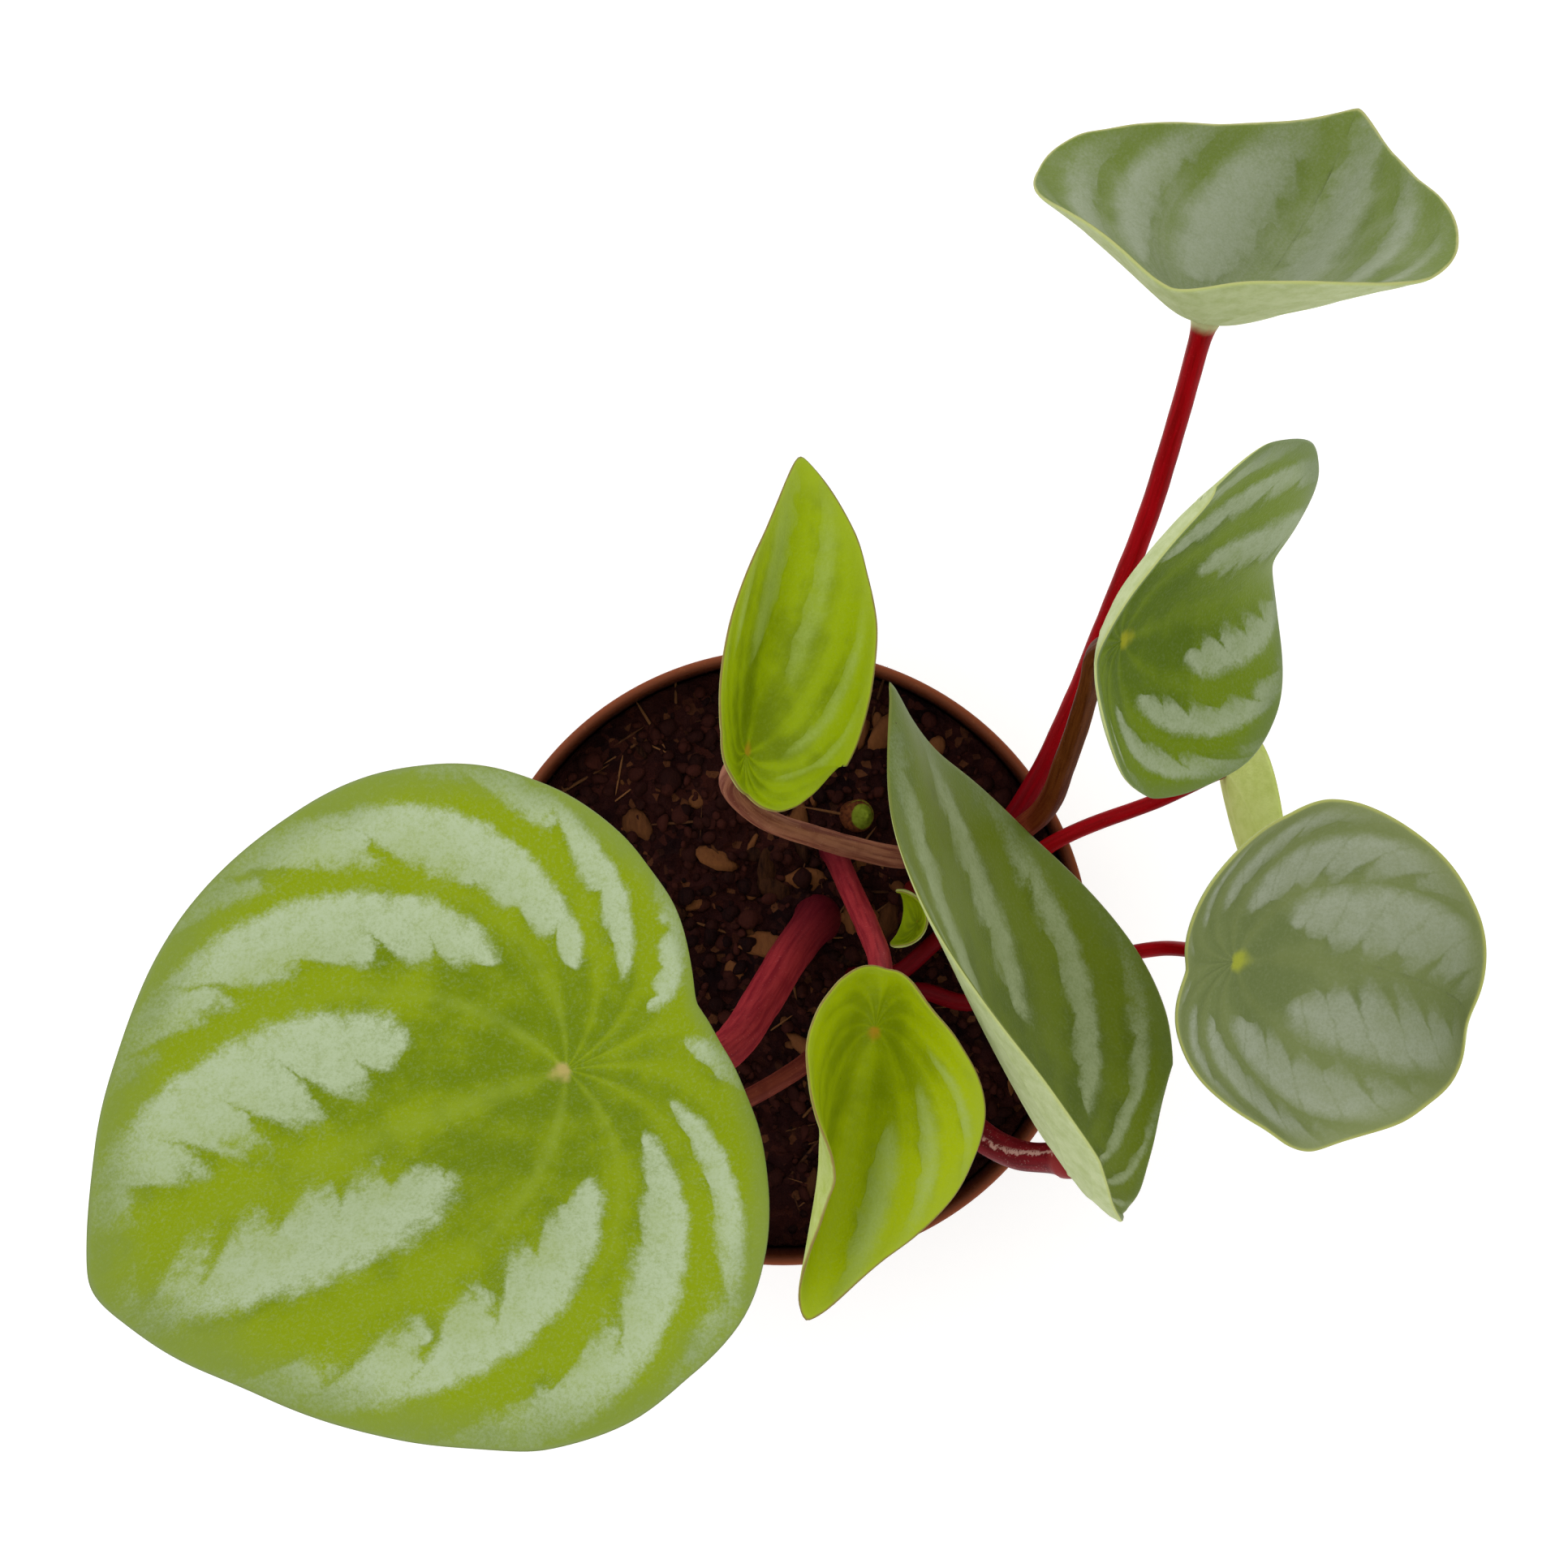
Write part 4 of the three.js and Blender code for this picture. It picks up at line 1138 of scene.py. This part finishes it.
def rounded(outline, rounding, steps=4):
    """Replaces each inner corner of an open outline with a curve between two points that lie
    `rounding` away from it, or a third of a shorter side."""
    corner = outline[1:-1]
    back, ahead = outline[:-2] - corner, outline[2:] - corner
    back_length = np.linalg.norm(back, axis=1, keepdims=True)
    ahead_length = np.linalg.norm(ahead, axis=1, keepdims=True)
    enter = corner + back / back_length * np.minimum(rounding, back_length / 3)
    leave = corner + ahead / ahead_length * np.minimum(rounding, ahead_length / 3)
    u = np.linspace(0, 1, steps)[None, :, None]
    curve = (enter[:, None] * (1 - u) ** 2 + 2 * corner[:, None] * u * (1 - u)
             + leave[:, None] * u ** 2)
    return np.vstack([outline[:1], curve.reshape(-1, 2), outline[-1:]])


def divided(outline, longest):
    """Adds points so that no stretch of the outline is longer than `longest`."""
    travelled = distances(outline)
    parts = np.maximum(np.ceil(np.diff(travelled) / longest).astype(int), 1)
    stops = np.concatenate([np.linspace(a, b, n, endpoint=False)
                            for a, b, n in zip(travelled[:-1], travelled[1:], parts)])
    return at_distances(outline, np.append(stops, travelled[-1]))


pot_outline = np.array([
    [MIDDLE, 0], [pad, 0], [pad + chamfer, recess], [ring_inside - chamfer, recess],
    [ring_inside, 0], [foot - chamfer, 0], [foot, chamfer], [body_top, collar_z - 0.4],
    [collar_radius, collar_z + 0.8], [rim - lip / 3, height - lip * 1.3],
    [rim, height - lip * 0.8], [rim, height - lip * 0.3], [rim - lip * 0.3, height],
    [rim - lip * 0.8, height], [rim - lip * 1.1, height - lip * 0.3],
    *pot_inside[::-1], [MIDDLE, floor_top],
])
pot_outline = divided(rounded(pot_outline, ROUNDING), LONGEST)
print("points on the pot's outline:", len(pot_outline))


# %% The pot's shell
def about_axis(radius, turn, height):
    """Points at a distance from the upright axis, in a direction and at a height."""
    return np.stack(np.broadcast_arrays(radius * np.cos(turn), radius * np.sin(turn), height), -1)


turn = np.linspace(0, 2 * np.pi, POT_SIDES, endpoint=False)
pot_rings = about_axis(pot_outline[:, :1], turn, pot_outline[:, 1:])
pot_fine = new_mesh_object("pot_fine", *skin(pot_rings))

hole_turn = np.linspace(0, 2 * np.pi, 40, endpoint=False)
hole_ends = np.array([[-3.0], [3 * floor_top]])
cutters = []
for angle in 2 * np.pi * np.arange(POT["drain_holes"]) / POT["drain_holes"]:
    hole = about_axis(POT["drain_radius"], hole_turn, hole_ends)
    hole = hole + about_axis(POT["drain_circle"], angle, 0)
    cutters.append(new_mesh_object("drain_cutter", *skin(hole)))
    cut = pot_fine.modifiers.new("drain", "BOOLEAN")
    cut.operation = "DIFFERENCE"
    cut.object = cutters[-1]
    cut.solver = "EXACT"
whole = bpy.context.evaluated_depsgraph_get()
cut_mesh = bpy.data.meshes.new_from_object(pot_fine.evaluated_get(whole))
pot_fine.modifiers.clear()
pot_fine.data = cut_mesh
for cutter in cutters:
    bpy.data.objects.remove(cutter)
cut_mesh.polygons.foreach_set("use_smooth", np.full(len(cut_mesh.polygons), True))
cut_mesh.set_sharp_from_angle(angle=math.radians(40))
print("pot faces:", len(cut_mesh.polygons))

# %% [markdown]
# ## Pot plastic
# The plastic is terracotta brown with a satin skin. It has a fine moulded grain, faint vertical
# scuffs from stacking, a paler worn lip, and inside the collar a wall that turns nearly black
# towards the soil.

# %% Pot plastic
INSIDE_RADII = 0.0413, 0.0423
COLLAR_HEIGHTS = 0.058, 0.060
INNER_DARK_HEIGHTS = 0.064, 0.0716
LIP_HEIGHTS = 0.0708, 0.0719
FOOT_HEIGHTS = 0, 0.012

pot_finish, tree, shader = new_material("pot_plastic", 0.45, 0.12)
place = object_place(tree)
up = place.parts()[2]
from_axis = place.scaled(1, 1, 0)
from_axis = from_axis.then("ShaderNodeVectorMath", from_axis, operation="LENGTH", out=1)
cloud = place.noise(45, 4, 0.6)
scuffs = place.scaled(1, 1, 0.07).noise(900, 3, 0.7)
dust = place.noise(1500, 3).ramp(0.6, 0.75)
inside = from_axis.ramp(*INSIDE_RADII, 1, 0) * up.ramp(*COLLAR_HEIGHTS)
# inside the collar the wall turns nearly black, most of all just above the soil
inner_darkening = (up + (cloud - 0.5) * 0.006).ramp(*INNER_DARK_HEIGHTS, 0.95, 0.6)
foot_dirt = up.ramp(*FOOT_HEIGHTS, 1, 0) * cloud.ramp(0.4, 0.7)
base = cloud.ramp(0.35, 0.7).mix((122, 56, 28), (102, 43, 18))
for share, tint in ((scuffs.ramp(0.58, 0.74) * 0.3, (172, 108, 72)),
                    (up.ramp(*LIP_HEIGHTS) * 0.3, (150, 80, 44)),
                    (inside * inner_darkening, (36, 14, 10)), (dust * 0.15, (90, 60, 42)),
                    (foot_dirt * 0.5, (80, 52, 36))):
    base = share.mix(base, tint)
feed(shader["Base Color"], base)
feed(shader["Roughness"], scuffs.ramp(0.3, 0.75, 0.38, 0.58))
relief(shader, place.noise(2400, 2) + scuffs * 0.6, 0.00005)
pot_fine.data.materials.clear()
dress(pot_fine, [pot_finish], "pot_plastic", "pot")

# %% [markdown]
# ## The soil
# Potting mix is a loose, dark crumble. The solid's broad lumps stay, and crumbs of several
# sizes are added, with a small mound pressed up round each stalk. The body below fills the pot
# as the solid does.

# %% The soil's height
FEET = np.array([leaf["via"][0][:2] for leaf in LEAVES.values()])
CRUMB_SINK = 0.3
MOUND_HEIGHT = 0.45
MOUND_SPREAD = 18

side_outline = pot_inside[:3] + [-GAP, GAP]
climb = (SOIL_LEVEL - side_outline[2, 1]) / (pot_inside[3, 1] - pot_inside[2, 1])
SOIL_RADIUS = side_outline[2, 0] + climb * (pot_inside[3, 0] - pot_inside[2, 0])


def soil_height(x, y):
    """The drawing's lumps, calm at the wall, plus crumbs of four sizes and the mounds."""
    calm = 1 - (np.hypot(x, y) / SOIL_RADIUS) ** 4
    broad = np.sin(0.21 * x + 0.9) * np.cos(0.17 * y - 0.4)
    lumps = np.sin(0.55 * x - 0.31 * y) * np.sin(0.47 * y + 0.23 * x + 1.1)
    crumbs = (0.55 * np.abs(unevenness(x, y, 4.5, 1)) + 0.5 * np.abs(unevenness(x, y, 2.1, 2))
              + 0.34 * unevenness(x, y, 1.0, 3) + 0.16 * unevenness(x, y, 0.55, 4))
    mound = sum(np.exp(-((x - fx) ** 2 + (y - fy) ** 2) / MOUND_SPREAD) for fx, fy in FEET)
    return (SOIL_LEVEL + SOIL_LUMP * calm * (broad + 0.8 * lumps) + crumbs
            + MOUND_HEIGHT * mound - CRUMB_SINK)


soil_turn = np.linspace(0, 2 * np.pi, 300, endpoint=False)
soil_out = np.linspace(SOIL_RADIUS, 0.4, 96)[:, None]
soil_top = soil_height(soil_out * np.cos(soil_turn), soil_out * np.sin(soil_turn))
soil_fine = new_mesh_object("soil_fine", *skin(np.concatenate([
    about_axis(side_outline[:, :1], soil_turn, side_outline[:, 1:]),
    about_axis(soil_out, soil_turn, soil_top)])))

# %% [markdown]
# ## Soil material
# Moist peat is almost black, with warm brown where it has dried. Its colours are set darker
# still, as painted shade for the leaves' shadow over the pot. Small uneven cells make grains,
# each with a tone of its own.

# %% Soil material
soil_finish, tree, shader = new_material("soil_peat", 0.85, 0.04)
place = object_place(tree)
distance, tone = place.cells(900)
# dark peat, its tones lowered further as painted shade from the leaves above
base = place.noise(120, 4, 0.6).ramp(0.35, 0.7).mix((48, 20, 18), (20, 7, 9))
base = (tone[0].ramp(0.72, 1) * 0.75).mix(base, (62, 28, 22))
base = (tone[1].ramp(0.9, 1) * 0.7).mix(base, (104, 62, 38))
feed(shader["Base Color"], base)
feed(shader["Roughness"], tone[2].ramp(0, 1, 0.55, 0.95))
relief(shader, place.noise(1400, 4, 0.7) + distance, 0.0005)
dress(soil_fine, [soil_finish], "soil", "soil")

# %% [markdown]
# ## Chips, crumbs, fibres and perlite
# Bark chips, small crumbs, a few fibres and a few white grains of perlite lie loose on top. Each
# kind is one mesh: a stone of eighty faces, copied many times as one array, with every copy
# stretched, knocked out of shape, turned and set on the soil at random.

# %% A rounded stone
GOLDEN = (1 + 5 ** 0.5) / 2
CORNERS = unit(np.array([
    [-1, GOLDEN, 0], [1, GOLDEN, 0], [-1, -GOLDEN, 0], [1, -GOLDEN, 0],
    [0, -1, GOLDEN], [0, 1, GOLDEN], [0, -1, -GOLDEN], [0, 1, -GOLDEN],
    [GOLDEN, 0, -1], [GOLDEN, 0, 1], [-GOLDEN, 0, -1], [-GOLDEN, 0, 1]]))
TRIANGLES = np.array([
    [0, 11, 5], [0, 5, 1], [0, 1, 7], [0, 7, 10], [0, 10, 11],
    [1, 5, 9], [5, 11, 4], [11, 10, 2], [10, 7, 6], [7, 1, 8],
    [3, 9, 4], [3, 4, 2], [3, 2, 6], [3, 6, 8], [3, 8, 9],
    [4, 9, 5], [2, 4, 11], [6, 2, 10], [8, 6, 7], [9, 8, 1]])


def quartered(points, faces):
    """Every triangle is cut into four at its edges' middles, pushed out to the ball."""
    edges = np.sort(faces[:, [0, 1, 1, 2, 2, 0]].reshape(-1, 2), axis=1)
    edges, which = np.unique(edges, axis=0, return_inverse=True)
    middles = which.reshape(-1, 3) + len(points)
    finer = [np.stack([faces[:, i], middles[:, i], middles[:, i - 1]], -1) for i in range(3)]
    return np.vstack([points, unit(points[edges].mean(1))]), np.vstack([*finer, middles])


STONE, STONE_FACES = quartered(CORNERS, TRIANGLES)
print("faces of a stone:", len(STONE_FACES))

# %% A scatter of stones
KNOCKS = 5
CLEAR_OF_WALL = 1.8


def crumb_finish(name, dark, light, roughness):
    """Each stone takes its own tone between two colours, with fibres across it."""
    material, tree, shader = new_material(name, roughness, 0.04)
    fibres = object_place(tree).scaled(1, 0.25, 1).noise(1800, 3, 0.6)
    share = field(tree, "tone", 2) * 0.75 + (fibres - 0.4) * 0.5
    feed(shader["Base Color"], share.mix(dark, light))
    relief(shader, fibres, 0.0002)
    return material


def scatter(name, seed, count, size, shape, rough, sink, tilt, finish):
    """Stones spread evenly over the soil: `size` is the range of radii, `shape` the stretch
    along each axis, `sink` the share of the height that is buried, and `tilt` the usual lean.
    Each stone is knocked out of shape by a few waves that run through it."""
    chance = np.random.default_rng(seed)
    out = (SOIL_RADIUS - CLEAR_OF_WALL) * np.sqrt(chance.random(count))
    turn = chance.uniform(0, 2 * np.pi, count)
    x, y = out * np.cos(turn), out * np.sin(turn)
    radius = size[0] + (size[1] - size[0]) * chance.random(count) ** 2
    stretch = np.array(shape) * chance.uniform(0.7, 1.3, (count, 3))
    knocks = chance.normal(0, 2.0, (count, KNOCKS, 3))
    phases = chance.uniform(0, 2 * np.pi, (count, KNOCKS, 1))
    bumps = np.sin(np.einsum("nkj,vj->nkv", knocks, STONE) + phases)
    stones = STONE * (1 + rough * bumps.sum(1)[..., None])
    stones = stones * stretch[:, None] * radius[:, None, None]
    spin, lean = chance.uniform(0, 2 * np.pi, count), chance.normal(0, tilt, count)
    stones = np.einsum("nij,nkj->nki", rotation(spin, 2) @ rotation(lean, 0), stones)
    lift = soil_height(x, y) + radius * stretch[:, 2] * (1 - 2 * sink)
    stones = stones + np.stack([x, y, lift], -1)[:, None]
    faces = STONE_FACES + len(STONE) * np.arange(count)[:, None, None]
    made = new_mesh_object(name, stones.reshape(-1, 3), np.empty((0, 4), int), faces.reshape(-1, 3))
    add_field(made, "tone", np.repeat(chance.random(count), len(STONE)))
    dress(made, [crumb_finish(*finish)], "soil")


# the crumbs and chips take darker tones too: partly their own, partly painted shade from the leaves
# above
scatter("soil_crumbs", 11, 1500, (0.35, 1.3), (1, 1, 0.8), 0.07, 0.35, 0.6,
        ("soil_crumbs", (20, 8, 9), (66, 30, 24), 0.8))
scatter("soil_bark_chips", 12, 130, (0.6, 2.4), (1.5, 0.8, 0.4), 0.13, 0.42, 0.45,
        ("soil_bark", (26, 11, 9), (124, 76, 44), 0.8))
scatter("soil_fibres", 14, 90, (0.5, 1.1), (5.0, 0.22, 0.2), 0.04, 0.1, 0.2,
        ("soil_fibres", (40, 18, 14), (138, 92, 58), 0.8))
scatter("soil_perlite_grains", 13, 7, (0.3, 0.6), (1, 1, 0.9), 0.1, 0.4, 0.6,
        ("soil_perlite", (190, 184, 172), (232, 228, 220), 0.9))

# %% [markdown]
# ## Floor and light
# A plain white floor stands under the pot. It glows faintly, so that the leaves' wide soft
# shadows stay light, as in a light tent. One broad lamp above gives the leaves their sheen.

# %% Floor and light
FLOOR_HALF = 4000
FLOOR_DROP = 0.05

corners = np.array([[-1, -1], [1, -1], [1, 1], [-1, 1]]) * FLOOR_HALF
floor = new_mesh_object("floor", np.insert(corners.astype(float), 2, -FLOOR_DROP, axis=1),
                        np.array([[0, 1, 2, 3]]), np.empty((0, 3), int), smooth=False)
floor_finish, _, shader = new_material("floor_white", 0.7)
shader["Base Color"].default_value = (0.82, 0.82, 0.82, 1)
shader["Emission Color"].default_value = (1, 1, 1, 1)
shader["Emission Strength"].default_value = 0.35
floor.data.materials.append(floor_finish)

world = bpy.data.worlds.new("light_tent")
world.use_nodes = True
world.node_tree.nodes["Background"].inputs["Color"].default_value = (1, 1, 1, 1)
world.node_tree.nodes["Background"].inputs["Strength"].default_value = 1.0
bpy.context.scene.world = world


def soft_light(name, place, target, size, watts):
    """A square lamp at a place in metres, turned to face a target."""
    lamp = bpy.data.lights.new(name, "AREA")
    lamp.shape = "SQUARE"
    lamp.size = size
    lamp.energy = watts
    made = bpy.data.objects.new(name, lamp)
    made.location = place
    direction = np.subtract(target, place)
    flat = math.hypot(direction[0], direction[1])
    made.rotation_euler = (math.atan2(flat, -direction[2]), 0,
                           math.atan2(direction[1], direction[0]) - math.pi / 2)
    bpy.context.scene.collection.objects.link(made)


soft_light("lamp_above", (-0.25, 0.35, 1.1), (0, 0.02, 0.08), 0.7, 2.2)
bpy.context.scene.view_settings.view_transform = "Standard"
